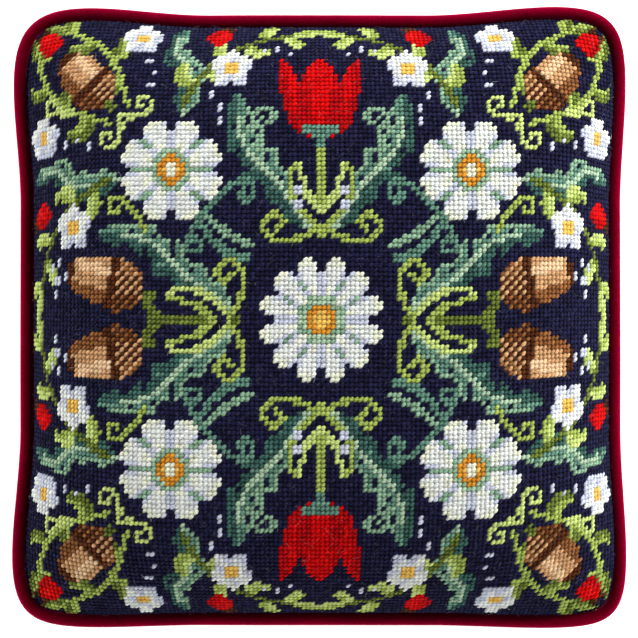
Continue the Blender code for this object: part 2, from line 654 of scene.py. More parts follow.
    def back(self, u: np.ndarray, v: np.ndarray) -> np.ndarray:
        """The back, pressed flat at z = 0 where it rests.

        Args:
            u: Weave coordinate across.
            v: Weave coordinate up.

        Returns:
            Places in metres.
        """
        x, y = self.plan(u, v)
        swell = self.back_fullness * np.clip(self.fullness(u, v), 0.0, None) ** self.ease
        bend = np.clip(swell - (1.0 - self.pressed_blend), 0.0, 2.0 * self.pressed_blend)
        held = np.minimum(swell - bend**2 / (4.0 * self.pressed_blend), 1.0)
        z = (self.seam_height(u, v) - self.gap / 2.0) * (1.0 - held)
        return np.stack([x, y, z], axis=-1)

    def seam_reach(self, angle: np.ndarray) -> np.ndarray:
        """How far the seam lies from the middle of the face along each angle, in weave coordinates.

        Args:
            angle: Angles about the middle of the face, in radians.

        Returns:
            The distance along each angle.
        """
        low, high = np.zeros(angle.shape), np.full(angle.shape, 1.5)
        for _ in range(self.search_steps):
            middle = (low + high) / 2.0
            u, v = middle * np.cos(angle), middle * np.sin(angle)
            inside = (np.maximum(np.abs(u), np.abs(v)) < 1.0) & (self.fullness(u, v) > 0.0)
            low, high = np.where(inside, middle, low), np.where(inside, high, middle)
        return low

    def seam_points(self, count: int) -> tuple[np.ndarray, np.ndarray]:
        """Weave coordinates of points evenly spaced round the seam.

        Args:
            count: The number of points.

        Returns:
            The points' u and v, anticlockwise.
        """
        angle = np.linspace(0.0, 2.0 * math.pi, 12 * count + 1)
        reach = self.seam_reach(angle)
        u, v = reach * np.cos(angle), reach * np.sin(angle)
        x, y = self.plan(u, v)
        along = np.concatenate([[0.0], np.cumsum(np.hypot(np.diff(x), np.diff(y)))])
        wanted = np.arange(count) * along[-1] / count
        return np.interp(wanted, along, u), np.interp(wanted, along, v)

    def squared(self, a: np.ndarray, b: np.ndarray) -> tuple[np.ndarray, np.ndarray]:
        """Weave coordinates of a square grid drawn in at its corners, so that its edge is the seam.

        Args:
            a: The grid's coordinate across, -1 to 1.
            b: The grid's coordinate up, -1 to 1.

        Returns:
            The u and v of each grid point.
        """
        angle, away = np.arctan2(b, a), np.maximum(np.abs(a), np.abs(b))
        square = 1.0 / np.maximum(np.abs(np.cos(angle)), np.abs(np.sin(angle)))
        pull = 1.0 - (1.0 - self.seam_reach(angle) / square) * away**self.corner_pull
        return a * pull, b * pull


@dataclass(frozen=True)
class WeaveMap:
    """Where an evenly woven square canvas lies when it is stretched over the crown."""

    form: CushionForm
    inset: float
    fineness: int = 240
    rounds: int = 12

    def places(self, holes: int) -> tuple[np.ndarray, np.ndarray, np.ndarray]:
        """Spreads the canvas so that its holes are evenly spaced along every row and column.

        Args:
            holes: How many holes a row has, from seam to seam.

        Returns:
            The holes' places, and their weave coordinates u and v, first by column, then by row.
        """
        grid = np.sin(np.linspace(-math.pi / 2, math.pi / 2, self.fineness + 1))
        u, v = np.meshgrid(grid, grid, indexing="ij")
        surface = self.form.front(u, v, self.inset)
        wanted = np.linspace(-1.0, 1.0, holes)
        across = self._evened(np.linalg.norm(np.diff(surface, axis=0), axis=-1), grid, wanted)
        upward = self._evened(np.linalg.norm(np.diff(surface, axis=1), axis=-1).T, grid, wanted)
        column, row = np.meshgrid(np.arange(holes), np.arange(holes), indexing="ij")
        hole_u, hole_v = wanted[column], wanted[row]
        for _ in range(self.rounds):
            hole_u = self._read(across, column, hole_v, grid)
            hole_v = self._read(upward, row, hole_u, grid)
        return self.form.front(hole_u, hole_v, self.inset), hole_u, hole_v

    @staticmethod
    def _evened(steps: np.ndarray, grid: np.ndarray, wanted: np.ndarray) -> np.ndarray:
        """For each line of the grid, the coordinates at which its length is evenly shared out.

        Args:
            steps: The length from each grid point to the next, one column for each line.
            grid: The coordinates of the grid points.
            wanted: The wanted places along a line, -1 to 1 by length.

        Returns:
            The coordinates, one row for each line.
        """
        reach = np.vstack([np.zeros(steps.shape[1]), np.cumsum(steps, axis=0)])
        reach = 2.0 * reach / reach[-1] - 1.0
        return np.stack([np.interp(wanted, reach[:, i], grid) for i in range(reach.shape[1])])

    @staticmethod
    def _read(table: np.ndarray, number: np.ndarray, beside: np.ndarray, grid: np.ndarray) -> np.ndarray:
        """Reads a table of lines between two of its lines.

        Args:
            table: One row for each line of the grid.
            number: The wanted columns.
            beside: Where between the lines to read, as a coordinate.
            grid: The coordinates of the lines.

        Returns:
            The values read.
        """
        place = np.interp(beside, grid, np.arange(len(grid)))
        low = np.minimum(place.astype(int), len(grid) - 2)
        share = place - low
        return table[low, number] * (1.0 - share) + table[low + 1, number] * share


# Finishes


class Wool(IntEnum):
    """The wools on the face, by colour."""

    NAVY = 0
    WHITE = 1
    CREAM = 2
    LILAC = 3
    MINT = 4
    SAGE = 5
    SEA = 6
    PINE = 7
    LIME = 8
    LEAF = 9
    MOSS = 10
    RED = 11
    CRIMSON = 12
    CORAL = 13
    ORANGE = 14
    YELLOW = 15
    PALE_TAN = 16
    TAN = 17
    BROWN = 18
    DARK_BROWN = 19

    @property
    def dye(self) -> tuple[float, float, float, float]:
        """The wool's colour in light."""
        return linear(*WOOL_DYES[self])


WOOL_DYES: dict[Wool, tuple[int, int, int]] = {
    Wool.NAVY: (27, 27, 58),
    Wool.WHITE: (225, 228, 223),
    Wool.CREAM: (228, 230, 208),
    Wool.LILAC: (198, 203, 219),
    Wool.MINT: (168, 195, 164),
    Wool.SAGE: (138, 174, 144),
    Wool.SEA: (98, 140, 122),
    Wool.PINE: (60, 98, 90),
    Wool.LIME: (194, 212, 124),
    Wool.LEAF: (162, 182, 88),
    Wool.MOSS: (106, 122, 50),
    Wool.RED: (212, 0, 3),
    Wool.CRIMSON: (184, 0, 7),
    Wool.CORAL: (220, 16, 16),
    Wool.ORANGE: (214, 142, 42),
    Wool.YELLOW: (232, 186, 88),
    Wool.PALE_TAN: (230, 192, 150),
    Wool.TAN: (202, 154, 108),
    Wool.BROWN: (140, 88, 48),
    Wool.DARK_BROWN: (84, 42, 18),
}


@dataclass(frozen=True)
class WoolFinish:
    """Tapestry wool of twisted plies: matt and softly haired, each stitch a shade of its own.

    The colour is darkened towards the low parts of each stitch, where it meets its neighbours and
    dives into the canvas: painted shade of the gaps between stitches. Light gets through pale wool, so
    the painted shade there is slight and its gaps stay bright, while between dark stitches it falls to
    black. The shade of dark wool varies more than that of pale wool.
    """

    name: str = "needlepoint_wool"
    plies: float = 2.3
    ply_lean: float = 1.6
    hair_scale: tuple[float, float, float] = (5.0, 22.0, 22.0)
    roughness: float = 0.90
    gloss: float = 0.04
    sheen: float = 0.02
    sheen_tint: tuple[float, float, float, float] = (1.0, 0.98, 0.95, 1.0)
    brightness: float = 0.87
    tension_shade: float = 0.36
    ply_shade: float = 0.08
    hair_shade: float = 0.20
    shade_span: float = 0.66
    shade_calm: float = 0.35
    # Pale lint blended into the colour at random: partly real lint, partly painted sheen that stands in for
    # the varying sheen of dark wool.
    lint: float = 0.04
    lint_scale: float = 1500.0
    lint_and_sheen_tint: tuple[float, float, float, float] = linear(176, 176, 196)
    dark_painted_gap_floor: float = 0.02
    pale_painted_gap_floor: float = 0.85
    painted_gap_shade_low: float = 0.10
    painted_gap_shade_high: float = 0.32
    relief: float = 0.22 * MM

    def material(self) -> bpy.types.Material:
        """Makes the wool's material.

        Returns:
            A material that reads the stitches' attributes wool, yarn and tension.
        """
        board = MaterialBoard(self.name, Wool.NAVY.dye)
        yarn = board.attribute("yarn", "Vector")
        tension = board.attribute("tension", "Fac")
        along, side, height = board.axes(yarn)
        ply = ((along * self.plies + side * self.ply_lean + tension) * (2.0 * math.pi)).sine()
        elsewhere = board.joined(tension * 53.0, tension * 17.0, tension)
        hair_place = board.vector("MULTIPLY_ADD", yarn, self.hair_scale, elsewhere)
        hairs = board.noise(hair_place, scale=1.0, detail=3.0, roughness=0.65)
        wool = board.attribute("wool", "Color")
        red, green, blue = board.axes(wool)
        paleness = red * 0.5 + green * 0.3 + blue * 0.2
        # How much of the colour the painted gap shade keeps: most on pale wool, almost none on dark wool.
        through = paleness.spread(0.05, 0.70, self.dark_painted_gap_floor, self.pale_painted_gap_floor)
        hairy = hairs.spread(0.25, 0.75, -self.hair_shade, self.hair_shade)
        uneven = (tension - 0.5) * self.tension_shade + ply * self.ply_shade + hairy
        shade = self.brightness + uneven * (self.shade_span / (through + self.shade_calm))
        # Painted shade: darker towards the low parts of the stitch, in the gaps between stitches.
        depth = through + (1.0 - through) * height.spread(self.painted_gap_shade_low, self.painted_gap_shade_high)
        # Painted sheen with real lint: pale specks blended into the colour, which show most on dark wool.
        lint = board.noise(board.object_place(), scale=self.lint_scale, detail=3.0, roughness=0.7)
        lint_and_sheen_share = lint.spread(0.55, 0.75, 0.0, self.lint) * tension
        lint_and_sheen_colour = board.blended(lint_and_sheen_share, wool, self.lint_and_sheen_tint)
        rough = hairs.spread(NOISE_LOW, NOISE_HIGH, self.roughness - 0.10, self.roughness + 0.06)
        return board.finish(
            Base_Color=board.shaded(lint_and_sheen_colour, shade * depth),
            Roughness=rough,
            Specular_IOR_Level=self.gloss,
            Sheen_Weight=self.sheen,
            Sheen_Roughness=0.5,
            Sheen_Tint=self.sheen_tint,
            Normal=board.raised(ply * 0.35 + hairs, distance=self.relief, strength=0.8),
        )


@dataclass(frozen=True)
class FuzzFinish:
    """Loose hairs of the wool, paler than the yarn that they stand out from."""

    name: str = "wool_fuzz"
    pale: tuple[float, float, float, float] = linear(206, 206, 216)
    share: float = 0.18
    tint_scale: float = 700.0

    def material(self) -> bpy.types.Material:
        """Makes the hairs' material.

        Returns:
            The material.
        """
        board = MaterialBoard(self.name, self.pale)
        tint = board.noise(board.object_place(), scale=self.tint_scale)
        share = tint.spread(0.3, 0.7, self.share * 0.5, self.share * 1.5)
        return board.finish(
            Base_Color=board.blended(share, board.attribute("wool", "Color"), self.pale),
            Roughness=tint.spread(NOISE_LOW, NOISE_HIGH, 0.82, 0.94),
            Specular_IOR_Level=0.1,
        )


@dataclass(frozen=True)
class CanvasFinish:
    """Cotton tapestry canvas, printed with the design, with its threads, darkened as painted shade of the
    gaps between the stitches, darkest at the holes.
    """

    name: str = "printed_canvas"
    threads: int = STITCHES
    cotton: tuple[float, float, float, float] = linear(150, 132, 104)
    faded: float = 0.34
    hole_painted_shade: float = 0.05
    thread_painted_shade: float = 0.35
    lint_scale: float = 2400.0

    def material(self) -> bpy.types.Material:
        """Makes the canvas's material.

        Returns:
            A material that reads the attribute wool as the print, and the bake map.
        """
        board = MaterialBoard(self.name, self.cotton)
        across, upward, _ = board.axes(board.map_place(BAKE_MAP))
        warp = (across * (math.pi * self.threads)).sine().size()
        weft = (upward * (math.pi * self.threads)).sine().size()
        thread = (warp * weft) ** 0.4
        lint = board.noise(board.object_place(), scale=self.lint_scale, detail=3.0)
        printed = board.blended(self.faded, board.attribute("wool", "Color"), self.cotton)
        # Painted shade: the printed canvas is darkened, most at the holes, as the gaps between the stitches
        # fall in shade.
        shade = thread.spread(0.1, 0.9, self.hole_painted_shade, self.thread_painted_shade)
        shade = shade * lint.spread(NOISE_LOW, NOISE_HIGH, 0.8, 1.15)
        return board.finish(
            Base_Color=board.shaded(printed, shade),
            Roughness=lint.spread(NOISE_LOW, NOISE_HIGH, 0.86, 0.96),
            Specular_IOR_Level=0.2,
            Normal=board.raised(thread + lint * 0.2, distance=0.4 * MM, strength=0.8),
        )


@dataclass(frozen=True)
class VelvetFinish:
    """Cotton velvet: a short upright pile, dark when looked into and bright along its edges.

    Crush is how much the patches of lying pile show, and fold how much painted shade darkens the
    velvet where the attribute fold is 1. Both run from 0 to 1.
    """

    name: str
    pile: tuple[float, float, float, float] = linear(151, 0, 38)
    root: tuple[float, float, float, float] = linear(71, 0, 11)
    sheen_tint: tuple[float, float, float, float] = linear(255, 48, 120)
    sheen: float = 1.0
    crush: float = 1.0
    fold: float = 0.0
    patch_scale: float = 38.0
    tuft_scale: float = 900.0
    grain_scale: float = 3200.0
    relief: float = 0.25 * MM

    def material(self) -> bpy.types.Material:
        """Makes the velvet's material.

        Returns:
            A material whose pile and crushed patches lie in the object's own space.
        """
        board = MaterialBoard(self.name, self.pile)
        place = board.object_place()
        patches = board.noise(place, scale=self.patch_scale, detail=3.0, roughness=0.55)
        tufts = board.noise(place, scale=self.tuft_scale, detail=2.0, roughness=0.6)
        grain = board.noise(place, scale=self.grain_scale, detail=2.0, roughness=0.7)
        lying = patches.spread(0.36, 0.66) * self.crush
        share = tufts.spread(0.25, 0.75, 0.25, 0.85) + (lying - 0.5 * self.crush) * 0.30
        colour = board.blended(share, self.root, self.pile)
        shade = grain.spread(NOISE_LOW, NOISE_HIGH, 0.82, 1.16)
        # Painted shade: the colour darkens where the attribute fold rises, towards the seam's crease.
        if self.fold:
            shade = shade * (1.0 - board.attribute("fold", "Fac") * self.fold)
        return board.finish(
            Base_Color=board.shaded(colour, shade),
            Roughness=grain.spread(NOISE_LOW, NOISE_HIGH, 0.66, 0.90) - lying * 0.08,
            Specular_IOR_Level=0.0,
            Sheen_Weight=self.sheen,
            Sheen_Roughness=0.38,
            Sheen_Tint=self.sheen_tint,
            Normal=board.raised(tufts + grain * 0.7, distance=self.relief, strength=0.7),
        )


# The needlepoint design


@dataclass(frozen=True)
class Path:
    """A smooth line on the chart through a few points, in stitches from its middle."""

    points: tuple[tuple[float, float], ...]
    samples: int = 60

    def places(self) -> np.ndarray:
        """The line as a row of points.

        Returns:
            Places in stitches, of shape (samples, 2).
        """
        knots = np.array(self.points, float)
        knots = np.vstack([2 * knots[0] - knots[1], knots, 2 * knots[-1] - knots[-2]])
        spans = len(knots) - 3
        place = np.linspace(0.0, spans, self.samples)
        span = np.minimum(place.astype(int), spans - 1)
        t = (place - span)[:, None]
        a, b, c, d = (knots[span + i] for i in range(4))
        bend = (2 * a - 5 * b + 4 * c - d) * t**2 + (3 * b - a - 3 * c + d) * t**3
        return 0.5 * (2 * b + (c - a) * t + bend)


@dataclass(frozen=True)
class Nearest:
    """Where each stitch lies beside a line: its place along it, its distance to the left, the length."""

    along: np.ndarray
    beside: np.ndarray
    length: float


@dataclass
class Chart:
    """The needlepoint chart: one wool for each stitch, counted from the lower left.

    The design repeats left to right and top to bottom, so motifs are drawn in one quarter: across and
    upward are each stitch's distances from the two middle lines.
    """

    count: int = STITCHES
    wool: np.ndarray = field(init=False)
    across: np.ndarray = field(init=False)
    upward: np.ndarray = field(init=False)

    def __post_init__(self) -> None:
        """Sets every stitch to the ground wool."""
        middle = np.arange(self.count) - (self.count - 1) / 2.0
        x, y = np.meshgrid(middle, middle)
        self.across, self.upward = np.abs(x), np.abs(y)
        self.wool = np.full(x.shape, int(Wool.NAVY))

    def stitch(self, where: np.ndarray, wool: Wool) -> None:
        """Works the stitches of a mask in one wool."""
        self.wool[where] = int(wool)

    def beside(self, path: Path) -> Nearest:
        """Measures each stitch against a line.

        Args:
            path: The line.

        Returns:
            Each stitch's place along the line, from 0 to 1, its distance to the line's left, and the
            line's length, in stitches.
        """
        line = path.places()
        step = np.gradient(line, axis=0)
        reach = np.concatenate([[0.0], np.cumsum(np.linalg.norm(np.diff(line, axis=0), axis=1))])
        gap_x = self.across[..., None] - line[:, 0]
        gap_y = self.upward[..., None] - line[:, 1]
        nearest = np.argmin(gap_x**2 + gap_y**2, axis=-1)
        rows, columns = np.indices(nearest.shape)
        gx, gy = gap_x[rows, columns, nearest], gap_y[rows, columns, nearest]
        way = step[nearest] / np.maximum(np.linalg.norm(step[nearest], axis=-1, keepdims=True), 1e-9)
        side = np.sign(way[..., 0] * gy - way[..., 1] * gx)
        return Nearest(reach[nearest] / reach[-1], side * np.hypot(gx, gy), float(reach[-1]))

    def turned(self, x: float, y: float, angle: float = 0.0) -> tuple[np.ndarray, np.ndarray]:
        """Each stitch's distances from a motif's own middle.

        Args:
            x: The motif's distance from the upright middle line.
            y: Its distance from the level middle line.
            angle: How far its own upward direction is turned clockwise, in degrees.

        Returns:
            The distances across and upwards in the motif's own directions.
        """
        gx, gy = self.across - x, self.upward - y
        c, s = math.cos(math.radians(angle)), math.sin(math.radians(angle))
        return gx * c - gy * s, gx * s + gy * c


@dataclass(frozen=True)
class Stem:
    """A line of stitches, such as a stem or a tendril."""

    path: Path
    wool: Wool
    width: float = 1.3
    tip_width: float = 0.9
    lit: Wool | None = None

    def work(self, chart: Chart) -> None:
        """Stitches the stem on a chart.

        Args:
            chart: The chart to stitch on.
        """
        near = chart.beside(self.path)
        width = self.width + (self.tip_width - self.width) * near.along
        inside = np.abs(near.beside) <= width / 2.0 + 0.12
        chart.stitch(inside, self.wool)
        if self.lit is not None:
            chart.stitch(inside & (near.beside > 0.15), self.lit)


@dataclass(frozen=True)
class Scroll:
    """A tendril that winds in about a place, from the angle start, in degrees."""

    x: float
    y: float
    radius: float
    turns: float
    start: float
    wool: Wool
    tail: tuple[tuple[float, float], ...] = ()
    clockwise: bool = True
    width: float = 1.2
    knots: int = 13
    wound_in: float = 0.80

    def work(self, chart: Chart) -> None:
        """Stitches the scroll on a chart.

        Args:
            chart: The chart to stitch on.
        """
        way = -1.0 if self.clockwise else 1.0
        curl = []
        for i in range(self.knots):
            share = i / (self.knots - 1.0)
            angle = math.radians(self.start) + way * share * self.turns * 2.0 * math.pi
            size = self.radius * (1.0 - self.wound_in * share)
            curl.append((self.x + size * math.cos(angle), self.y + size * math.sin(angle)))
        Stem(Path(tuple(self.tail) + tuple(curl), samples=110), self.wool, self.width, 1.0).work(chart)


class LeafWools(Enum):
    """The wools of one leaf: its lit half, its dark half, its rib, and its rim on the lit half.

    A rib in the ground's own wool is a gap between the halves.
    """

    PINE = (Wool.SEA, Wool.PINE, Wool.MINT, Wool.SAGE)
    SAGE = (Wool.SAGE, Wool.SEA, Wool.NAVY, Wool.MINT)
    LIME = (Wool.LIME, Wool.LEAF, Wool.NAVY, Wool.LIME)
    MOSS = (Wool.LEAF, Wool.MOSS, Wool.NAVY, Wool.LEAF)


@dataclass(frozen=True)
class Leaf:
    """One leaf about a curved rib, with two halves in different wools.

    A leaf of at least ribbed_from across has a rib, and one of at least veined_from a rim on its lit
    half and side veins that show the ground. Widths, like all of a motif's sizes, are in stitches.
    """

    path: Path
    width: float
    wools: LeafWools
    lobes: int = 0
    notch: float = 0.42
    fullest: float = 0.42
    veins: bool = True
    ribbed_from: float = 4.5
    rib_half: float = 0.62
    rib_end: float = 0.86
    veined_from: float = 6.0
    vein_step: float = 5.0
    vein_lean: float = 0.9
    rim_width: float = 0.9
    rim_end: float = 0.9

    def work(self, chart: Chart) -> None:
        """Stitches the leaf on a chart.

        Args:
            chart: The chart to stitch on.
        """
        light, dark, rib, rim = self.wools.value
        near = chart.beside(self.path)
        t = np.clip(near.along, 0.0, 1.0)
        rise = np.clip(t / self.fullest, 0.0, 1.0)
        fall = np.clip((1.0 - t) / (1.0 - self.fullest), 0.0, 1.0)
        swell = np.sqrt(np.clip(np.minimum(np.sin(rise * math.pi / 2), fall**0.85), 0.0, 1.0))
        half = self.width / 2.0 * swell
        if self.lobes:
            half = half * (1.0 - self.notch * np.abs(np.cos(t * math.pi * self.lobes)) ** 1.5)
        off = np.abs(near.beside)
        inside = (off <= half + 0.25) & (t > 0.0) & (t < 1.0)
        left = near.beside > 0.0
        chart.stitch(inside & left, light)
        chart.stitch(inside & ~left, dark)
        if self.width >= self.veined_from:
            chart.stitch(inside & left & (off > half - self.rim_width) & (t < self.rim_end), rim)
            if self.veins:
                run = t * near.length - off * self.vein_lean
                vein = inside & (np.mod(run, self.vein_step) < 1.0) & (off > 1.0)
                chart.stitch(vein & (off < half - 0.8), Wool.NAVY)
                chart.stitch(vein & ~left & (off < half - 1.6), light)
        if self.width >= self.ribbed_from:
            chart.stitch(inside & (off < self.rib_half) & (t < self.rib_end), rib)


@dataclass(frozen=True)
class Spray:
    """A stem with small leaves set alternately along both sides.

    The leaves stand from the shares begin to last of the stem, lean away from it by an angle in
    degrees, curl by another, and shrink towards the tip.
    """

    path: Path
    pairs: int
    leaf_length: float
    leaf_width: float
    wools: LeafWools
    stem: Wool
    lean: float = 48.0
    curl: float = 24.0
    begin: float = 0.16
    last: float = 0.93
    shrink: float = 0.35

    def work(self, chart: Chart) -> None:
        """Stitches the spray on a chart.

        Args:
            chart: The chart to stitch on.
        """
        line = self.path.places()
        way = np.gradient(line, axis=0)
        for i in range(2 * self.pairs):
            share = self.begin + (self.last - self.begin) * i / (2 * self.pairs - 1)
            number = int(share * (len(line) - 1))
            side = 1.0 if i % 2 else -1.0
            heading = math.atan2(way[number][1], way[number][0])
            length = self.leaf_length * (1.0 - self.shrink * share)
            out = heading + side * math.radians(self.lean + self.curl)
            over = heading + side * math.radians(self.lean)
            middle = line[number] + 0.55 * length * np.array([math.cos(out), math.sin(out)])
            end = line[number] + length * np.array([math.cos(over), math.sin(over)])
            path = Path((tuple(line[number]), tuple(middle), tuple(end)), samples=24)
            width = self.leaf_width * (1.0 - 0.5 * self.shrink * share)
            Leaf(path, width, self.wools, veins=False).work(chart)
        Stem(self.path, self.stem, 1.3, 1.0).work(chart)
        tip = line[-1] + 0.75 * self.leaf_length * way[-1] / np.linalg.norm(way[-1])
        path = Path((tuple(line[-4]), tuple(tip)))
        Leaf(path, self.leaf_width * 0.8, self.wools, veins=False).work(chart)


@dataclass(frozen=True)
class Daisy:
    """An open flower with many narrow round-ended petals.

    A petal's notch and shade begin at shares of the way from its middle to its side. Only a flower
    whose radius is at least large has green between its petals and a speckled eye.
    """

    x: float
    y: float
    radius: float
    petals: int = 8
    turn: float = 0.0
    eye: float = 0.24
    large: float = 9.0
    rounding: float = 0.22
    notch: float = 0.80
    shaded_from: float = 0.62
    ring: float = 1.7

    def work(self, chart: Chart) -> None:
        """Stitches the flower on a chart.

        Args:
            chart: The chart to stitch on.
        """
        gx, gy = chart.turned(self.x, self.y)
        r, angle = np.hypot(gx, gy), np.arctan2(gy, gx)
        part = self.petals * (angle - math.radians(self.turn)) / (2.0 * math.pi)
        beside = np.abs(part - np.round(part)) * 2.0
        edge = self.radius * (1.0 - self.rounding * beside**2.6)
        petal = (r <= edge) & ~((beside > self.notch) & (r > self.radius * self.notch))
        chart.stitch(petal, Wool.WHITE)
        chart.stitch(petal & (beside > self.shaded_from), Wool.LILAC)
        chart.stitch(petal & (r > edge - 1.4) & (beside < 0.45), Wool.CREAM)
        chart.stitch(petal & (r < self.radius * 0.56) & (beside < 0.30), Wool.CREAM)
        if self.radius >= self.large:
            chart.stitch(petal & (beside > 0.86) & (r < self.radius * 0.82), Wool.SAGE)
        core = self.radius * self.eye
        chart.stitch(r <= core + self.ring, Wool.MINT)
        chart.stitch((r <= core + self.ring) & (np.mod(part * 2, 1.0) < 0.42), Wool.SAGE)
        chart.stitch(r <= core + 0.35, Wool.ORANGE)
        chart.stitch(r <= core - 1.0, Wool.YELLOW)
        if self.radius >= self.large:
            speck = (np.mod(np.round(gx + gy), 2) == 0) & (r <= core - 1.6)
            chart.stitch(speck, Wool.CREAM)


@dataclass(frozen=True)
class Posy:
    """A small flower of round petals, whose distance and size are shares of its radius."""

    x: float
    y: float
    radius: float = 4.6
    turn: float = 90.0
    petals: int = 5
    petal_away: float = 0.58
    petal_radius: float = 0.47
    eye: float = 0.30

    def work(self, chart: Chart) -> None:
        """Stitches the flower on a chart.

        Args:
            chart: The chart to stitch on.
        """
        gx, gy = chart.turned(self.x, self.y)
        for i in range(self.petals):
            angle = math.radians(self.turn + 360.0 / self.petals * i)
            px = gx - self.petal_away * self.radius * math.cos(angle)
            py = gy - self.petal_away * self.radius * math.sin(angle)
            petal = np.hypot(px, py) <= self.petal_radius * self.radius
            chart.stitch(petal, Wool.WHITE)
            chart.stitch(petal & (px + py < -0.6), Wool.LILAC)
        chart.stitch(np.hypot(gx, gy) <= self.eye * self.radius, Wool.YELLOW)


@dataclass(frozen=True)
class Tulip:
    """A tulip seen from the side, with one middle petal and two that flare.

    The middle petal and the green cup are shares of the flower's own width and height.
    """

    x: float
    y: float
    height: float
    width: float
    angle: float = 0.0
    middle_petal: float = 0.52
    cup_height: float = 0.16
    cup_width: float = 0.62

    def work(self, chart: Chart) -> None:
        """Stitches the flower on a chart.

        Args:
            chart: The chart to stitch on.
        """
        px, py = chart.turned(self.x, self.y, self.angle)
        rise, off = py / self.height, np.abs(px)
        level = np.clip(rise, 0.0, 1.0)
        belly = np.sqrt(np.clip(np.sin(math.pi * (0.08 + 0.62 * level)), 0.0, 1.0)) + 0.14 * level**3
        belly = self.width / 2.0 * belly * np.clip(level * 7.0 + 0.25, 0.0, 1.0)
        share = off / np.maximum(belly, 1e-6)
        top = 0.70 + 0.30 * np.abs(np.cos(np.clip(share, 0.0, 1.15) * math.pi * 0.98))
        inside = (rise >= 0.0) & (share <= 1.0) & (rise <= top)
        chart.stitch(inside, Wool.RED)
        fold = belly * self.middle_petal * np.sqrt(np.clip(1.08 - level, 0.0, 1.0))
        middle = inside & (off < fold + 0.4)
        chart.stitch(inside & ~middle & (off < fold + 1.6), Wool.CRIMSON)
        chart.stitch(inside & (share > 0.78) & (px > 0), Wool.CRIMSON)
        chart.stitch(inside & (share > 0.70) & (share < 0.90) & (px < 0) & (rise > 0.2), Wool.CORAL)
        chart.stitch(middle & (px < -0.6) & (px > -2.2) & (rise > 0.22) & (rise < 0.75), Wool.CORAL)
        chart.stitch(middle & (px > 1.6) & (rise < 0.6), Wool.CRIMSON)
        cup = (rise < self.cup_height) & (rise > -0.06) & (off < belly * self.cup_width + 0.5)
        chart.stitch(cup, Wool.SAGE)
        chart.stitch(cup & (px > 0.4), Wool.SEA)


@dataclass(frozen=True)
class Acorn:
    """An acorn in its cup, which ends at cup_edge of its length."""

    x: float
    y: float
    length: float
    width: float
    angle: float = 0.0
    cup_edge: float = 0.42

    def work(self, chart: Chart) -> None:
        """Stitches the acorn on a chart.

        Args:
            chart: The chart to stitch on.
        """
        px, py = chart.turned(self.x, self.y, self.angle)
        rise, off = py / self.length, px / (self.width / 2.0)
        nut = (rise > 0.30) & (rise < 1.0) & (off**2 / 0.80 + ((rise - 0.36) / 0.64) ** 2 < 1.0)
        chart.stitch(nut, Wool.TAN)
        chart.stitch(nut & (off > 0.30), Wool.BROWN)
        chart.stitch(nut & (off < -0.18) & (off > -0.62) & (rise < 0.85), Wool.PALE_TAN)
        chart.stitch(nut & (rise > 0.88), Wool.DARK_BROWN)
        below = (rise - self.cup_edge) / (self.cup_edge + 0.02)
        cup = (below <= 0.0) & (rise > -0.02) & (off**2 + below**2 < 1.0)
        chart.stitch(cup, Wool.BROWN)
        scale = np.mod(chart.across + chart.upward, 2.0) < 0.5
        chart.stitch(cup & scale & (off > -0.5), Wool.DARK_BROWN)
        chart.stitch(cup & ~scale & (off < 0.25), Wool.TAN)
        chart.stitch(cup & (rise > 0.34), Wool.DARK_BROWN)
        chart.stitch((np.abs(px) < 0.75) & (rise < 0.02) & (rise > -0.16), Wool.MOSS)


@dataclass(frozen=True)
class Hip:
    """A small red fruit with its dry crown."""

    x: float
    y: float
    angle: float = 0.0
    length: float = 6.0
    width: float = 4.6

    def work(self, chart: Chart) -> None:
        """Stitches the fruit on a chart.

        Args:
            chart: The chart to stitch on.
        """
        px, py = chart.turned(self.x, self.y, self.angle)
        off = (px / (self.width / 2.0)) ** 2 + ((py - self.length / 2) / (self.length / 2)) ** 2
        chart.stitch(off < 1.0, Wool.RED)
        chart.stitch((off < 1.0) & (px > 0.8), Wool.CRIMSON)
        chart.stitch((off < 0.35) & (px < 0.2) & (px > -1.4) & (py > self.length * 0.45), Wool.CORAL)
        crown = (py > self.length - 0.8) & (py < self.length + 1.3) & (np.abs(np.abs(px) - 0.9) < 0.55)
        chart.stitch(crown, Wool.DARK_BROWN)


@dataclass(frozen=True)
class Seeds:
    """A few single pale stitches in a short bowed row."""

    x: float
    y: float
    angle: float
    count: int = 3
    step: float = 3.2
    wool: Wool = Wool.LILAC

    def work(self, chart: Chart) -> None:
        """Stitches the seeds on a chart.

        Args:
            chart: The chart to stitch on.
        """
        c, s = math.cos(math.radians(self.angle)), math.sin(math.radians(self.angle))
        for i in range(self.count):
            away = (i - (self.count - 1) / 2.0) * self.step
            bow = 0.9 * (1.0 - (2.0 * i / max(self.count - 1, 1) - 1.0) ** 2)
            x, y = self.x + away * c - bow * s, self.y + away * s + bow * c
            near = (np.abs(chart.across - x) < 0.75) & (np.abs(chart.upward - y) < 0.75)
            chart.stitch(near, self.wool)


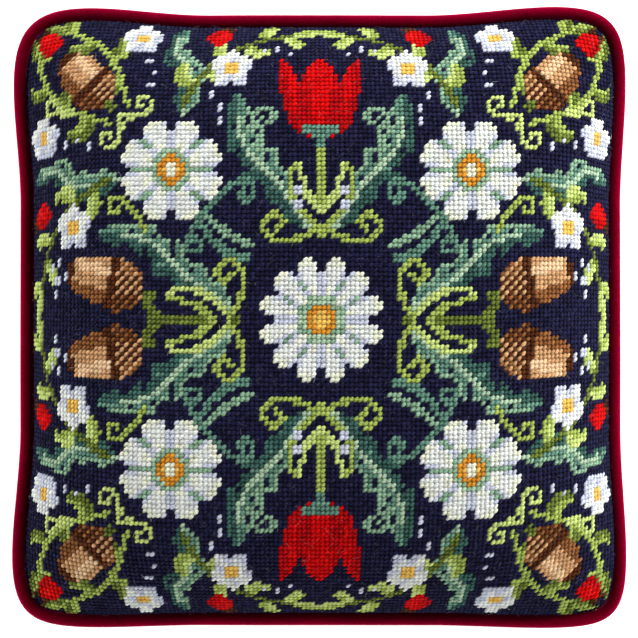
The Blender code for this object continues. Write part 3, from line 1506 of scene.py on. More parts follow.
@dataclass(frozen=True)
class GardenDesign:
    """A garden of daisies, tulips, acorns and leaves that repeats left to right and top to bottom."""

    stitches: int = STITCHES

    def motifs(self) -> tuple[Any, ...]:
        """The motifs of one quarter, in the order in which they are worked."""
        return (*self._leaves(), *self._sprays(), *self._tendrils(), *self._flowers_and_fruit())

    @staticmethod
    def _leaves() -> tuple[Any, ...]:
        """The large leaves about the middle flower and behind the daisies.

        Returns:
            The motifs, in working order.
        """
        return (
            Leaf(Path(((2.5, 19.0), (9.5, 29.0), (16.5, 37.0), (18.0, 48.0))), 9.4, LeafWools.PINE, 5),
            Leaf(Path(((19.0, 2.5), (29.0, 9.5), (37.0, 16.5), (48.0, 18.0))), 9.4, LeafWools.PINE, 5),
            Leaf(Path(((13.5, 13.5), (20.5, 16.5), (26.0, 22.5))), 5.0, LeafWools.SAGE),
            Leaf(Path(((43.0, 29.5), (53.5, 28.5), (59.5, 32.5), (67.0, 31.0))), 7.4, LeafWools.PINE, 4),
            Leaf(Path(((29.5, 43.0), (28.5, 53.5), (32.5, 59.5), (31.0, 67.0))), 7.4, LeafWools.PINE, 4),
        )

    @staticmethod
    def _sprays() -> tuple[Any, ...]:
        """The leafy stems along the edges and between the flowers.

        Returns:
            The motifs, in working order.
        """
        at_edge = (3, 7.4, 3.4, LeafWools.LIME, Wool.MOSS)
        at_corner = (2, 7.6, 3.8, LeafWools.MOSS, Wool.LEAF)
        return (
            Spray(Path(((29.5, 46.0), (24.5, 54.5), (15.0, 62.0), (4.0, 65.0))), *at_edge),
            Spray(Path(((46.0, 29.5), (54.5, 24.5), (62.0, 15.0), (65.0, 4.0))), *at_edge),
            Spray(Path(((45.5, 41.5), (55.0, 45.5), (61.5, 51.5), (65.5, 60.5))), *at_corner),
            Spray(Path(((41.5, 45.5), (45.5, 55.0), (51.5, 61.5), (60.5, 65.5))), *at_corner),
            Stem(Path(((0.0, 18.0), (0.0, 42.0))), Wool.LEAF, 1.8, 1.8, Wool.MOSS),
            Stem(Path(((18.0, 0.0), (36.0, 0.0))), Wool.LEAF, 1.8, 1.8, Wool.MOSS),
            Stem(Path(((33.0, 0.0), (36.0, 2.0), (39.0, 6.0))), Wool.MOSS, 1.6, 1.4),
            Leaf(Path(((0.0, 20.0), (4.5, 26.0), (5.5, 33.0))), 4.6, LeafWools.LIME),
            Leaf(Path(((20.0, 0.0), (26.0, 4.5), (33.0, 5.5))), 4.6, LeafWools.LIME),
        )

    @staticmethod
    def _tendrils() -> tuple[Any, ...]:
        """The curling tendrils between the leaves.

        Returns:
            The motifs, in working order.
        """
        return (
            Scroll(9.5, 20.0, 3.4, 1.15, 250.0, Wool.LEAF, ((0.5, 19.5), (5.0, 17.0)), clockwise=False),
            Scroll(20.0, 9.5, 3.4, 1.15, 200.0, Wool.LEAF, ((19.5, 0.5), (17.0, 5.0))),
            Scroll(11.5, 42.5, 3.2, 1.1, 290.0, Wool.SAGE, ((12.5, 33.5), (13.0, 37.0)), clockwise=False),
            Scroll(16.5, 26.5, 3.0, 1.1, 30.0, Wool.SEA, ((24.5, 23.5), (21.5, 26.0)), clockwise=False),
            Scroll(26.5, 16.0, 2.6, 1.1, 60.0, Wool.SEA, ((23.5, 24.5), (26.0, 21.5))),
            Scroll(44.0, 23.5, 2.6, 1.1, 180.0, Wool.LEAF, ((37.5, 19.0), (39.5, 22.0))),
            Scroll(38.5, 46.0, 2.4, 1.1, 270.0, Wool.LIME, ((43.5, 43.5), (41.0, 43.0))),
            Scroll(46.0, 38.5, 2.4, 1.1, 180.0, Wool.LIME, ((43.5, 43.5), (43.0, 41.0)), clockwise=False),
            Scroll(60.0, 47.5, 2.4, 1.1, 200.0, Wool.LIME, ((55.0, 45.0), (57.0, 45.0)), clockwise=False),
        )

    @staticmethod
    def _flowers_and_fruit() -> tuple[Any, ...]:
        """The flowers, acorns, hips and seeds.

        Returns:
            The motifs, in working order.
        """
        return (
            Tulip(0.0, 37.5, 19.5, 17.0),
            Acorn(38.0, 5.6, 19.0, 11.8, 76.0),
            Acorn(46.5, 46.5, 16.5, 11.2, 45.0),
            Daisy(32.0, 31.5, 11.2, 8, 22.5, 0.25),
            Daisy(0.0, 0.0, 13.0, 12, 15.0, 0.24),
            Posy(19.5, 54.5, 4.8),
            Posy(54.5, 19.5, 4.8),
            Posy(40.5, 63.0, 4.6),
            Posy(63.0, 40.5, 4.6),
            Hip(24.5, 61.5, -30.0, 6.5, 5.2),
            Hip(61.5, 24.5, 120.0, 6.5, 5.2),
            Hip(60.0, 60.0, 45.0, 6.5, 5.2),
            Seeds(9.5, 59.0, 10.0),
            Seeds(60.0, 8.0, 80.0),
            Seeds(37.5, 53.5, 80.0),
            Seeds(53.5, 37.5, 10.0),
            Seeds(22.5, 45.0, 75.0),
            Seeds(57.5, 10.5, 60.0, 2),
            Seeds(5.0, 25.5, 90.0, 2),
        )

    def chart(self) -> Chart:
        """Works the motifs on a new chart.

        Returns:
            The finished chart.
        """
        chart = Chart(self.stitches)
        for motif in self.motifs():
            motif.work(chart)
        return chart


# Pieces


class WoolHank(Enum):
    """The stitches of the face by wool: a name, the wools, and the number of pieces that they fill."""

    NAVY = ("stitches_navy", (Wool.NAVY,), 4)
    WHITE = ("stitches_white", (Wool.WHITE, Wool.CREAM, Wool.LILAC), 1)
    FERN = ("stitches_blue_green", (Wool.MINT, Wool.SAGE, Wool.SEA, Wool.PINE), 2)
    LEAF = ("stitches_leaf_green", (Wool.LIME, Wool.LEAF, Wool.MOSS), 2)
    RED = ("stitches_red", (Wool.RED, Wool.CRIMSON, Wool.CORAL), 1)
    GOLD = (
        "stitches_brown_gold",
        (Wool.ORANGE, Wool.YELLOW, Wool.PALE_TAN, Wool.TAN, Wool.BROWN, Wool.DARK_BROWN),
        1,
    )


@dataclass
class NeedlepointFace:
    """The face: a printed canvas stretched over the crown, and a tent stitch over every crossing."""

    form: CushionForm
    design: GardenDesign = field(default_factory=GardenDesign)
    stitches: int = STITCHES
    pitch: float = 2.54 * MM
    canvas_inset: float = 0.9 * MM
    yarn_width: float = 2.40 * MM
    slant: float = 45.0
    yarn_height: float = 1.70 * MM
    stitch_rise: float = 0.56 * MM
    stitch_dip: float = 0.60 * MM
    seam_allowance: float = 3.2 * MM
    roughness: float = 0.26 * MM
    roughness_scale: float = 330.0
    unevenness: float = 0.10
    edge_points: int = 6
    round_points: int = 6
    tension_seed: int = 11
    turn_seed: int = 23
    size_seed: int = 37
    cell_margin: float = 0.06

    def build(self) -> list[bpy.types.Object]:
        """Builds the canvas and its stitches.

        Returns:
            The canvas, then the pieces of stitches.
        """
        chart = self.design.chart()
        holes, u, v = WeaveMap(self.form, self.canvas_inset).places(self.stitches + 1)
        kept = self._inside_piping(*(self._middles(part) for part in (holes[..., 0], holes[..., 1], u, v)))
        canvas = self._canvas(holes, kept, chart, "canvas")
        tree = self._stitch_tree()
        finish = WoolFinish().material()
        pieces = []
        for hank in WoolHank:
            name, wools, parts = hank.value
            column, row = np.nonzero(kept & np.isin(chart.wool.T, [int(wool) for wool in wools]))
            order = np.lexsort((column, row))
            for i, share in enumerate(np.array_split(order, parts)):
                label = name if parts == 1 else f"{name}_{i + 1}"
                pieces.append(self._worked(label, tree, finish, holes, column[share], row[share], chart))
        pieces.append(WoolFuzz().build(self._canvas(holes, kept, chart, "fuzz_ground")))
        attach(canvas, BODY)
        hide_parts("tapestry_panel")
        for piece in pieces:
            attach(piece, BODY)
        return [canvas, *pieces]

    @staticmethod
    def _middles(part: np.ndarray) -> np.ndarray:
        """The mean of each mesh of the canvas's four holes."""
        return (part[:-1, :-1] + part[1:, :-1] + part[:-1, 1:] + part[1:, 1:]) / 4.0

    def _inside_piping(self, x: np.ndarray, y: np.ndarray, u: np.ndarray, v: np.ndarray) -> np.ndarray:
        """Which stitches lie inside the seam, or under the piping at a rounded corner.

        Args:
            x: The stitches' places across, in metres.
            y: The stitches' places up, in metres.
            u: Their weave coordinates across.
            v: Their weave coordinates up.

        Returns:
            True where a stitch is kept.
        """
        kept = self.form.fullness(u, v) > 0.0
        seam_x, seam_y = self.form.plan(*self.form.seam_points(900))
        for column, row in zip(*np.nonzero(~kept)):
            away = np.hypot(seam_x - x[column, row], seam_y - y[column, row]).min()
            kept[column, row] = away < self.seam_allowance
        return kept

    def _canvas(self, holes: np.ndarray, kept: np.ndarray, chart: Chart, name: str) -> bpy.types.Object:
        """The printed canvas, one face for each crossing that a stitch covers.

        Args:
            holes: Places of the canvas holes, in metres.
            kept: Which stitches are kept.
            chart: The wools of the stitches.
            name: The piece's name.

        Returns:
            The canvas.
        """
        row = self.stitches + 1
        column, line = np.nonzero(kept)
        first = column * row + line
        faces = np.stack([first, first + row, first + row + 1, first + 1], axis=1)
        used, faces = np.unique(faces, return_inverse=True)
        faces = faces.reshape(-1, 4)
        canvas = sewn(name, holes.reshape(-1, 3)[used], faces, CanvasFinish().material())
        place = np.stack([used // row, used % row], axis=1) / self.stitches
        mapped(canvas, BAKE_MAP, place[corner_points(canvas)])
        dyes = np.array([wool.dye for wool in Wool])
        face_values(canvas, "wool", "FLOAT_COLOR", dyes[chart.wool.T[column, line]])
        return canvas

    def _stitch_tree(self) -> GeometryBoard:
        """The tree that lays one plump slanting stitch over each face of its input.

        Each face brings the attributes lay, up and size, and the stitches keep its other attributes.

        Returns:
            The tree.
        """
        board = GeometryBoard(
            "tent_stitches",
            Reach="size",
            Yarn_Width="size",
            Yarn_Height="size",
            Rise="size",
            Dip="size",
            Unevenness="size",
            Roughness="size",
            Roughness_Scale="size",
            Length_Points="count",
            Round_Points="count",
            Finish="finish",
        )
        stitch = self._one_stitch(board)
        points = board.add("GeometryNodeMeshToPoints", {"mode": "FACES"}, {"Mesh": board.given("Geometry")})
        tension = board.axes(board.random(self.tension_seed))[0] * 0.5 + 0.5
        points = board.stored(points, "tension", "FLOAT", tension)
        facing = board.add(
            "FunctionNodeAxesToRotation",
            {"primary_axis": "Z", "secondary_axis": "X"},
            {
                "Primary Axis": board.attribute("up", "FLOAT_VECTOR"),
                "Secondary Axis": board.attribute("lay", "FLOAT_VECTOR"),
            },
        )
        uneven = board.given("Unevenness")
        swing = board.joined(uneven, uneven, uneven * 1.4)
        turned = board.turned(facing, board.vector("MULTIPLY", board.random(self.turn_seed), swing))
        swelling = board.joined(uneven, uneven, uneven)
        swell = board.vector("MULTIPLY_ADD", board.random(self.size_seed), swelling, (1, 1, 1))
        size = board.vector("MULTIPLY", board.attribute("size", "FLOAT_VECTOR"), swell)
        copies = board.copies(points, stitch, turned, size)
        real = board.add("GeometryNodeRealizeInstances", sockets={"Geometry": copies})
        wander = board.add(
            "ShaderNodeTexNoise",
            sockets={
                "Vector": board.add("GeometryNodeInputPosition"),
                "Scale": board.given("Roughness Scale"),
                "Detail": 2.0,
            },
            output="Color",
        )
        rough = board.given("Roughness") * 2.0
        push = board.vector("SUBTRACT", wander, (0.5, 0.5, 0.5))
        push = board.vector("MULTIPLY", push, board.joined(rough, rough, rough))
        board.end(board.add("GeometryNodeSetPosition", sockets={"Geometry": real, "Offset": push}))
        return board

    @staticmethod
    def _one_stitch(board: GeometryBoard) -> Socket:
        """One stitch along the x axis: a bowed tube, wider than high and thin at its ends.

        Its attribute yarn is each point's place as a share of the stitch's reach.

        Args:
            board: The tree that it is made in.

        Returns:
            The stitch.
        """
        reach, rise, dip = board.given("Reach"), board.given("Rise"), board.given("Dip")
        height = board.given("Yarn Height")
        bow = board.add(
            "GeometryNodeCurvePrimitiveBezierSegment",
            {"mode": "POSITION"},
            {
                "Resolution": board.given("Length Points") - 1.0,
                "Start": board.joined(reach * -0.5, 0.0, dip * -1.0),
                "Start Handle": board.joined(reach * -0.45, 0.0, rise * 1.5),
                "End Handle": board.joined(reach * 0.45, 0.0, rise * 1.5),
                "End": board.joined(reach * 0.5, 0.0, dip * -1.0),
            },
        )
        line = board.add("GeometryNodeResampleCurve", {"mode": "EVALUATED"}, {"Curve": bow})
        share = board.add("GeometryNodeSplineParameter", output="Factor")
        plump = board.add(
            "ShaderNodeFloatCurve",
            {"curve": ((0.0, 0.42), (0.2, 0.86), (0.4, 1.0), (0.6, 1.0), (0.8, 0.86), (1.0, 0.42))},
            {"Value": share},
        )
        shape = board.tube(line, board.given("Round Points"), height, plump)
        widening = board.joined(1.0, board.given("Yarn Width") / height, 1.0)
        widened = board.add("GeometryNodeTransform", sockets={"Geometry": shape, "Scale": widening})
        smooth = board.add("GeometryNodeSetShadeSmooth", sockets={"Geometry": widened})
        place = board.add("GeometryNodeInputPosition")
        unit = board.vector("DIVIDE", place, board.joined(reach, reach, reach))
        return board.stored(smooth, "yarn", "FLOAT_VECTOR", unit)

    def _worked(
        self,
        name: str,
        tree: GeometryBoard,
        finish: bpy.types.Material,
        holes: np.ndarray,
        column: np.ndarray,
        row: np.ndarray,
        chart: Chart,
    ) -> bpy.types.Object:
        """Works one piece of stitches.

        Args:
            name: The piece's name.
            tree: The tree that lays the stitches.
            finish: The wool's material.
            holes: The places of the canvas's holes, by column and row.
            column: The columns of the stitches.
            row: The rows of the stitches.
            chart: The chart with each stitch's wool.

        Returns:
            The stitches as one plain mesh object.
        """
        corners = np.stack([holes[column + x, row + y] for x, y in CELL], axis=1)
        slope, cross = corners[:, 2] - corners[:, 0], corners[:, 3] - corners[:, 1]
        up = np.cross(slope, cross)
        area = np.linalg.norm(up, axis=1)
        length = np.linalg.norm(slope, axis=1)
        across = (slope - cross) / np.linalg.norm(slope - cross, axis=1, keepdims=True)
        upward = (slope + cross) / np.linalg.norm(slope + cross, axis=1, keepdims=True)
        lay = across * math.cos(math.radians(self.slant)) + upward * math.sin(math.radians(self.slant))
        whole = math.sqrt(2.0) * self.pitch
        breadth = area / np.maximum(length, 1e-9) / whole
        size = np.stack([length / whole, breadth, np.sqrt(np.clip(breadth, 0.2, 1.2))], axis=1)
        base = sewn(name, corners.reshape(-1, 3), np.arange(4 * len(lay)).reshape(-1, 4))
        dyes = np.array([wool.dye for wool in Wool])
        face_values(base, "wool", "FLOAT_COLOR", dyes[chart.wool[row, column]])
        face_values(base, "lay", "FLOAT_VECTOR", lay)
        face_values(base, "up", "FLOAT_VECTOR", up / area[:, None])
        face_values(base, "size", "FLOAT_VECTOR", size)
        piece = tree.grown(
            name,
            base,
            Reach=whole,
            Yarn_Width=self.yarn_width,
            Yarn_Height=self.yarn_height,
            Rise=self.stitch_rise,
            Dip=self.stitch_dip,
            Unevenness=self.unevenness,
            Roughness=self.roughness,
            Roughness_Scale=self.roughness_scale,
            Length_Points=self.edge_points,
            Round_Points=self.round_points,
            Finish=finish,
        )
        for label in ("lay", "up", "size"):
            if label in piece.data.attributes:
                piece.data.attributes.remove(piece.data.attributes[label])
        self._laid_out(piece)
        return piece

    def _laid_out(self, piece: bpy.types.Object) -> None:
        """Gives each stitch a cell of its own on the bake map.

        Args:
            piece: A piece of whole stitches, one after another.
        """
        number = corner_points(piece)
        each = self.edge_points * self.round_points
        stitch, place = number // each, number % each
        along, around = place // self.round_points, place % self.round_points
        starts = np.empty(len(piece.data.polygons), np.int32)
        totals = np.empty(len(piece.data.polygons), np.int32)
        piece.data.polygons.foreach_get("loop_start", starts)
        piece.data.polygons.foreach_get("loop_total", totals)
        face = np.repeat(np.arange(len(starts)), totals)
        last = self.round_points - 1
        has_first, has_last = (np.bincount(face, around == edge) > 0 for edge in (0, last))
        wraps = has_first & has_last & (totals == 4)
        around = np.where(wraps[face] & (around == 0), self.round_points, around).astype(float)
        cap = totals[face] != 4
        angle = 2.0 * math.pi * around / self.round_points
        x = np.where(cap, 0.5 + 0.03 * np.cos(angle), along / (self.edge_points - 1.0))
        y = np.where(cap, 0.02 + 0.015 * np.sin(angle), 0.05 + 0.95 * around / self.round_points)
        cells = math.ceil(math.sqrt(int(stitch.max()) + 1))
        margin, inner = self.cell_margin, 1.0 - 2.0 * self.cell_margin
        across, upward = stitch % cells + margin + inner * x, stitch // cells + margin + inner * y
        mapped(piece, BAKE_MAP, np.stack([across, upward], axis=1) / cells)


@dataclass(frozen=True)
class WoolFuzz:
    """Fine loose hairs that stand out of the stitches."""

    density: float = 42000.0
    length: float = 2.6 * MM
    thickness: float = 0.07 * MM
    over_canvas: float = 1.10 * MM
    seed: int = 7
    turn_seed: int = 31
    size_seed: int = 41

    def build(self, base: bpy.types.Object) -> bpy.types.Object:
        """Grows the hairs.

        Args:
            base: A copy of the canvas with its wools, which is used up.

        Returns:
            The hairs as one plain mesh object.
        """
        return self._tree().grown(
            "wool_fuzz",
            base,
            Density=self.density,
            Length=self.length,
            Thickness=self.thickness,
            Height=self.over_canvas,
            Seed=self.seed,
            Finish=FuzzFinish().material(),
        )

    def _tree(self) -> GeometryBoard:
        """The tree that scatters bent hairs over its input.

        Returns:
            The tree.
        """
        board = GeometryBoard(
            "loose_hairs",
            Density="size",
            Length="size",
            Thickness="size",
            Height="size",
            Seed="count",
            Finish="finish",
        )
        points = board.add(
            "GeometryNodeDistributePointsOnFaces",
            {"distribute_method": "RANDOM"},
            {
                "Mesh": board.given("Geometry"),
                "Density": board.given("Density"),
                "Seed": board.given("Seed"),
            },
        )
        facing = board.beside(points, "Rotation")
        length, height = board.given("Length"), board.given("Height")
        hair = board.add(
            "GeometryNodeCurveQuadraticBezier",
            sockets={
                "Resolution": 3,
                "Start": board.joined(0.0, 0.0, height),
                "Middle": board.joined(length * 0.4, length * 0.1, height + length * 0.42),
                "End": board.joined(length, length * 0.35, height + length * 0.24),
            },
        )
        shape = board.tube(hair, 3, board.given("Thickness"))
        spin = board.vector("MULTIPLY", board.random(self.turn_seed), (0.35, 0.35, math.pi))
        spread = (0.45, 0.45, 0.25)
        size = board.vector("MULTIPLY_ADD", board.random(self.size_seed), spread, (1.0, 1.0, 1.0))
        board.end(board.copies(points, shape, board.turned(facing, spin), size))
        return board


@dataclass
class VelvetCushion:
    """The filled cushion: a crown under the canvas and a velvet back that fills out under pressure."""

    form: CushionForm
    cells: int = 96
    under_canvas: float = 2.4 * MM
    pressure: float = 4.0
    frames: int = 20
    slack: float = 0.03
    most_moved: float = 7.0 * MM
    under_piping: float = 0.9 * MM
    rim_sunk: float = 1.6 * MM
    rim_fade: float = 0.06
    crowding: float = 0.86
    table_reach: float = 0.4
    # The same velvet as the piping, painted darker: painted shade, as the back faces the glowing floor.
    finish: VelvetFinish = VelvetFinish(
        "velvet_back", pile=linear(124, 0, 30), root=linear(60, 0, 9), sheen=0.15
    )

    def build(self) -> bpy.types.Object:
        """Builds the cushion's body.

        Returns:
            The body, one closed piece.
        """
        end = math.pi / 2 * self.crowding
        line = np.sin(np.linspace(-1.0, 1.0, self.cells + 1) * end) / math.sin(end)
        a, b = np.meshgrid(line, line, indexing="ij")
        u, v = self.form.squared(a, b)
        back = self.form.back(u, v)
        front = self.form.front(u, v, self.under_canvas)
        rim = np.maximum(np.abs(a), np.abs(b)) > 1.0 - 1e-9
        back[rim, 0], back[rim, 1] = self.form.plan(u[rim], v[rim], -self.under_piping)
        back[rim, 2] -= self.rim_sunk
        rise = (front[..., 2] - self.form.seam_height(u, v)) / self.form.front_crown
        front[..., 2] -= self.rim_sunk * np.exp(-np.clip(rise, 0.0, None) / self.rim_fade)
        back = self._filled_out(back, rim)
        front[rim] = back[rim]
        body = self._closed(back, front, rim)
        body.data.materials.append(self.finish.material())
        modifier = body.modifiers.new("smooth", "SUBSURF")
        modifier.levels = modifier.render_levels = 1
        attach(body, BODY)
        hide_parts("cushion")
        return body

    def _filled_out(self, back: np.ndarray, rim: np.ndarray) -> np.ndarray:
        """Lets the filling push the back out against the floor.

        Args:
            back: The back's places on its grid.
            rim: Which of them lie on the seam, and so stay.

        Returns:
            The places after the filling has settled.
        """
        faces = self._quads(np.arange(rim.size).reshape(rim.shape))[:, ::-1]
        cloth = sewn("back_cloth", back.reshape(-1, 3), faces)
        held = cloth.vertex_groups.new(name="seam")
        held.add(np.flatnonzero(rim.ravel()).tolist(), 1.0, "REPLACE")
        modifier = cloth.modifiers.new("filling", "CLOTH")
        velvet = {
            "quality": 6,
            "mass": 0.3,
            "tension_stiffness": 20.0,
            "compression_stiffness": 20.0,
            "shear_stiffness": 8.0,
            "bending_stiffness": 0.6,
            "vertex_group_mass": "seam",
            "use_pressure": True,
            "uniform_pressure_force": self.pressure,
            "shrink_min": -self.slack,
        }
        for name, value in velvet.items():
            setattr(modifier.settings, name, value)
        modifier.settings.effector_weights.gravity = 0.0
        modifier.collision_settings.use_collision = True
        modifier.collision_settings.distance_min = 0.6 * MM
        table = level_square("table", self.table_reach, 0.0)
        table.modifiers.new("stop", "COLLISION")
        table.collision.thickness_outer = 1.0 * MM
        table.collision.cloth_friction = 20.0
        scene = bpy.context.scene
        for step in range(1, self.frames + 1):
            scene.frame_set(step)
        settled = cloth.evaluated_get(bpy.context.evaluated_depsgraph_get())
        found = np.empty(3 * len(settled.data.vertices))
        settled.data.vertices.foreach_get("co", found)
        scene.frame_set(1)
        for thing in (cloth, table):
            bpy.data.objects.remove(thing)
        move = found.reshape(back.shape) - back
        far = np.linalg.norm(move, axis=-1, keepdims=True)
        log.info("the filling moved the back by up to %.1f mm", float(far.max()) / MM)
        filled = back + move * np.minimum(1.0, self.most_moved / np.maximum(far, 1e-9))
        filled[..., 2] = np.maximum(filled[..., 2], 0.0)
        return filled

    @staticmethod
    def _quads(number: np.ndarray) -> np.ndarray:
        """The faces of a grid of numbered points."""
        corners = (number[:-1, :-1], number[1:, :-1], number[1:, 1:], number[:-1, 1:])
        return np.stack([corner.ravel() for corner in corners], axis=1)

    def _closed(self, back: np.ndarray, front: np.ndarray, rim: np.ndarray) -> bpy.types.Object:
        """Joins the back and the crown along the seam into one closed mesh.

        Args:
            back: A square grid of places on the back.
            front: The same grid on the crown.
            rim: True on the grid's edge.

        Returns:
            The body.
        """
        count = rim.size
        number = np.arange(count).reshape(rim.shape)
        front_number = np.where(rim, number, count + np.cumsum(~rim.ravel()).reshape(rim.shape) - 1)
        points = np.vstack([back.reshape(-1, 3), front[~rim]])
        faces = np.vstack([self._quads(number)[:, ::-1], self._quads(front_number)])
        body = sewn("cushion_body", points, faces)
        self._creased(body, np.flatnonzero(rim.ravel()))
        mapped(body, BAKE_MAP, self._unfolded(self.cells))
        return body

    @staticmethod
    def _creased(body: bpy.types.Object, rim: np.ndarray) -> None:
        """Keeps the seam sharp when the body is smoothed.

        Args:
            body: The body, whose first points are the back's.
            rim: True on the grid's edge.
        """
        ends = np.empty(2 * len(body.data.edges), np.int32)
        body.data.edges.foreach_get("vertices", ends)
        crease = body.data.attributes.new("crease_edge", "FLOAT", "EDGE")
        crease.data.foreach_set("value", np.isin(ends.reshape(-1, 2), rim).all(axis=1).astype(np.float32))

    @staticmethod
    def _unfolded(cells: int) -> np.ndarray:
        """The bake map's places: the back large, and the hidden crown in a narrow strip beside it.

        Args:
            cells: The number of cells along each side of the grid.

        Returns:
            One place for each face corner.
        """
        column, row = np.divmod(np.arange(cells * cells), cells)
        corners = np.stack([np.stack([column + x, row + y], 1) for x, y in CELL], axis=1) / float(cells)
        back = corners[:, ::-1] * (0.88, 0.98) + (0.01, 0.01)
        front = corners * (0.08, 0.98) + (0.91, 0.01)
        return np.concatenate([back, front]).reshape(-1, 2)


@dataclass
class PipedSeam:
    """The velvet-covered cord sewn into the seam, painted darker over its top and inner side: painted shade
    towards the seam's crease.
    """

    form: CushionForm
    diameter: float = 7.4 * MM
    gap: float = 0.3 * MM
    stations: int = 760
    round_points: int = 26
    pucker: float = 0.16 * MM
    pucker_width: int = 7
    lump: float = 0.10 * MM
    lump_width: int = 61
    bend_width: int = 25
    crease_shade_curve: float = 0.7
    seed: int = 5
    map_rows: int = 8
    # fold is how deep the painted shade on the cord's top and inner side goes; this pile is brighter than
    # the back's, so the unshaded outer side reads as a painted highlight.
    finish: VelvetFinish = VelvetFinish("velvet_piping", crush=0.8, fold=0.88)

    def build(self) -> bpy.types.Object:
        """Builds the piping.

        Returns:
            The piping, one closed ring.
        """
        u, v = self.form.seam_points(self.stations)
        x, y = self.form.plan(u, v)
        way = np.stack([np.roll(x, -1) - np.roll(x, 1), np.roll(y, -1) - np.roll(y, 1)], axis=1)
        way /= np.linalg.norm(way, axis=1, keepdims=True)
        out = np.stack([way[:, 1], -way[:, 0], np.zeros(len(way))], axis=1)
        centre = np.stack([x, y, self.form.seam_height(u, v)], axis=1)
        centre = centre + out * (self.diameter / 2 + self.gap)
        bend = np.abs(np.angle((np.roll(way, -1, 0) @ (1, 1j)) / (way @ (1, 1j))))
        bend = self._even(bend, self.bend_width) / max(float(bend.max()), 1e-9)
        angle = 2.0 * math.pi * np.arange(self.round_points) / self.round_points
        radius = self.diameter / 2.0 + self._unevenness(angle, bend)
        up = np.array([0.0, 0.0, 1.0])
        ring = out[:, None, :] * np.cos(angle)[None, :, None] + up * np.sin(angle)[None, :, None]
        points = centre[:, None, :] + ring * radius[..., None]
        number = np.arange(points.shape[0] * points.shape[1]).reshape(points.shape[:2])
        after, beside = np.roll(number, -1, axis=0), np.roll(number, -1, axis=1)
        faces = np.stack([number, after, np.roll(after, -1, axis=1), beside], axis=-1).reshape(-1, 4)
        piece = sewn("piping_cord", points.reshape(-1, 3), faces[:, ::-1], self.finish.material())
        # The attribute fold is painted shade: 0 on the cord's outer side, rising over its top to 1 on its
        # inner side by the seam.
        fold = piece.data.attributes.new("fold", "FLOAT", "POINT")
        painted_crease_shade = np.broadcast_to(0.5 - 0.5 * np.cos(angle), radius.shape) ** self.crease_shade_curve
        fold.data.foreach_set("value", painted_crease_shade.astype(np.float32).ravel())
        self._laid_out(piece)
        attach(piece, BODY)
        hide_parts("piping")
        return piece

    @staticmethod
    def _even(values: np.ndarray, width: int) -> np.ndarray:
        """A ring of values smoothed over a width.

        Args:
            values: Values round the ring.
            width: The number of values that are evened out together.

        Returns:
            The smoothed values.
        """
        window = np.hanning(width + 2)[1:-1]
        padded = np.concatenate([values[-width:], values, values[:width]])
        return np.convolve(padded, window / window.sum(), "same")[width:-width]

    def _unevenness(self, angle: np.ndarray, bend: np.ndarray) -> np.ndarray:
        """How far the velvet stands from a true round: soft lumps, and puckers on tight bends.

        Args:
            angle: Angles round the cord, in radians.
            bend: How tightly the seam turns at each station, 0 to 1.

        Returns:
            Distances in metres, one row for each station.
        """
        random = np.random.default_rng(self.seed)
        lumps = self._even(random.normal(size=len(bend)), self.lump_width)
        lumps = lumps / np.abs(lumps).max() * self.lump
        folds = self._even(random.normal(size=len(bend)), self.pucker_width)
        folds = folds / np.abs(folds).max() * self.pucker
        inner = np.clip(-np.cos(angle), 0.0, 1.0)[None, :]
        return lumps[:, None] + folds[:, None] * (0.15 + bend[:, None] * inner)

    def _laid_out(self, piece: bpy.types.Object) -> None:
        """Lays the ring out on the bake map in rows, each a stretch of the seam.

        Args:
            piece: The piping.
        """
        number = corner_points(piece).reshape(-1, 4)
        station, around = np.divmod(number, self.round_points)
        station = self._unwrapped(station, self.stations)
        around = self._unwrapped(around, self.round_points)
        stretch = self.stations // self.map_rows
        line = np.minimum(station.min(1) // stretch, self.map_rows - 1)[:, None]
        x = (station - line * stretch) / stretch
        y = (line + 0.04 + 0.92 * around / self.round_points) / self.map_rows
        mapped(piece, BAKE_MAP, np.stack([0.01 + 0.98 * x, y], axis=-1).reshape(-1, 2))

    @staticmethod
    def _unwrapped(number: np.ndarray, count: int) -> np.ndarray:
        """Counts a ring's first point as one past its last, in the faces that close the ring.

        Args:
            number: The numbers of each face's corners.
            count: The number of points in the ring.

        Returns:
            The numbers, rising within each face.
        """
        closing = (number == 0) & (number.max(1, keepdims=True) > count / 2)
        return np.where(closing, count, number)


# Studio


@dataclass(frozen=True)
class Softbox:
    """A square softbox that faces the cushion, its power in watts."""

    name: str
    place: tuple[float, float, float]
    size: float
    power: float
    aim_height: float = 0.05

    def build(self) -> None:
        """Puts the softbox in the scene."""
        data = bpy.data.lights.new(self.name, "AREA")
        data.shape, data.size, data.energy = "SQUARE", self.size, self.power
        lamp = bpy.data.objects.new(self.name, data)
        x, y, z = self.place
        tilt = math.atan2(math.hypot(x, y), z - self.aim_height)
        lamp.location = self.place
        lamp.rotation_euler = (tilt, 0.0, math.atan2(y, x) + math.pi / 2)
        bpy.context.scene.collection.objects.link(lamp)


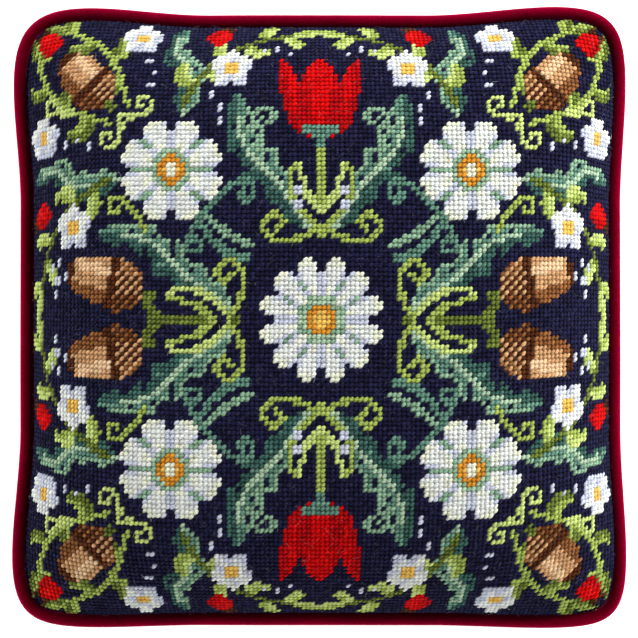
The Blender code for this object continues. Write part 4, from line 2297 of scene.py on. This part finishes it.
@dataclass(frozen=True)
class Studio:
    """A pale floor, soft light from all round, and a camera straight above the face."""

    distance: float = 1.6
    lens: float = 162.9
    sensor: float = 36.0
    aside: tuple[float, float] = (0.1 * MM, -1.4 * MM)
    floor_reach: float = 4.0
    floor_height: float = -0.3 * MM
    floor_glow: float = 0.66
    sky: float = 0.22
    lamps: tuple[Softbox, ...] = (
        Softbox("softbox_key", (1.00, 1.35, 0.95), 0.8, 54.0),
        Softbox("softbox_left", (-1.30, 0.3, 0.22), 0.9, 27.0),
        Softbox("softbox_right", (1.30, 0.0, 0.35), 0.9, 11.0),
        Softbox("softbox_bottom", (0.3, -1.30, 0.22), 0.9, 15.0),
    )

    def build(self, form: CushionForm) -> None:
        """Sets up the camera, the floor and the lights.

        Args:
            form: The cushion's form, for the height of its seam.
        """
        self._camera(form.seam + self.distance)
        self._floor()
        self._sky()
        for lamp in self.lamps:
            lamp.build()
        bpy.context.scene.view_settings.view_transform = "Standard"

    def _camera(self, height: float) -> None:
        """The camera, looking straight down.

        Args:
            height: The camera's height, in metres.
        """
        data = bpy.data.cameras.new("camera")
        data.lens, data.sensor_width = self.lens, self.sensor
        data.clip_start, data.clip_end = 0.05, 20.0
        camera = bpy.data.objects.new("camera", data)
        camera.location = (*self.aside, height)
        bpy.context.scene.collection.objects.link(camera)
        bpy.context.scene.camera = camera

    def _floor(self) -> None:
        """A wide pale floor with a faint grain."""
        board = MaterialBoard("pale_floor", (0.9, 0.9, 0.9, 1.0))
        grain = board.noise(board.object_place(), scale=60.0, detail=4.0)
        board.finish(
            Base_Color=board.blended(grain, linear(246, 246, 246), linear(250, 250, 250)),
            Roughness=grain.spread(0.3, 0.7, 0.80, 0.88),
            Specular_IOR_Level=0.2,
            Emission_Color=(1.0, 1.0, 1.0, 1.0),
            Emission_Strength=self.floor_glow,
        )
        floor = level_square("floor", self.floor_reach, self.floor_height, board.material)

    def _sky(self) -> None:
        """An even white surround."""
        world = bpy.data.worlds.new("studio")
        world.use_nodes = True
        sky = world.node_tree.nodes["Background"]
        sky.inputs["Color"].default_value = (1.0, 1.0, 1.0, 1.0)
        sky.inputs["Strength"].default_value = self.sky
        bpy.context.scene.world = world


def main() -> None:
    """Builds the studio and the cushion's pieces, and logs each piece's face count."""
    logging.basicConfig(level=logging.INFO, format="%(name)s: %(message)s")
    form = CushionForm()
    Studio().build(form)
    body = VelvetCushion(form).build()
    pieces = [body, *NeedlepointFace(form).build(), PipedSeam(form).build()]
    for piece in pieces:
        log.info("%s has %d faces", piece.name, len(piece.data.polygons))


if __name__ == "__main__":
    main()
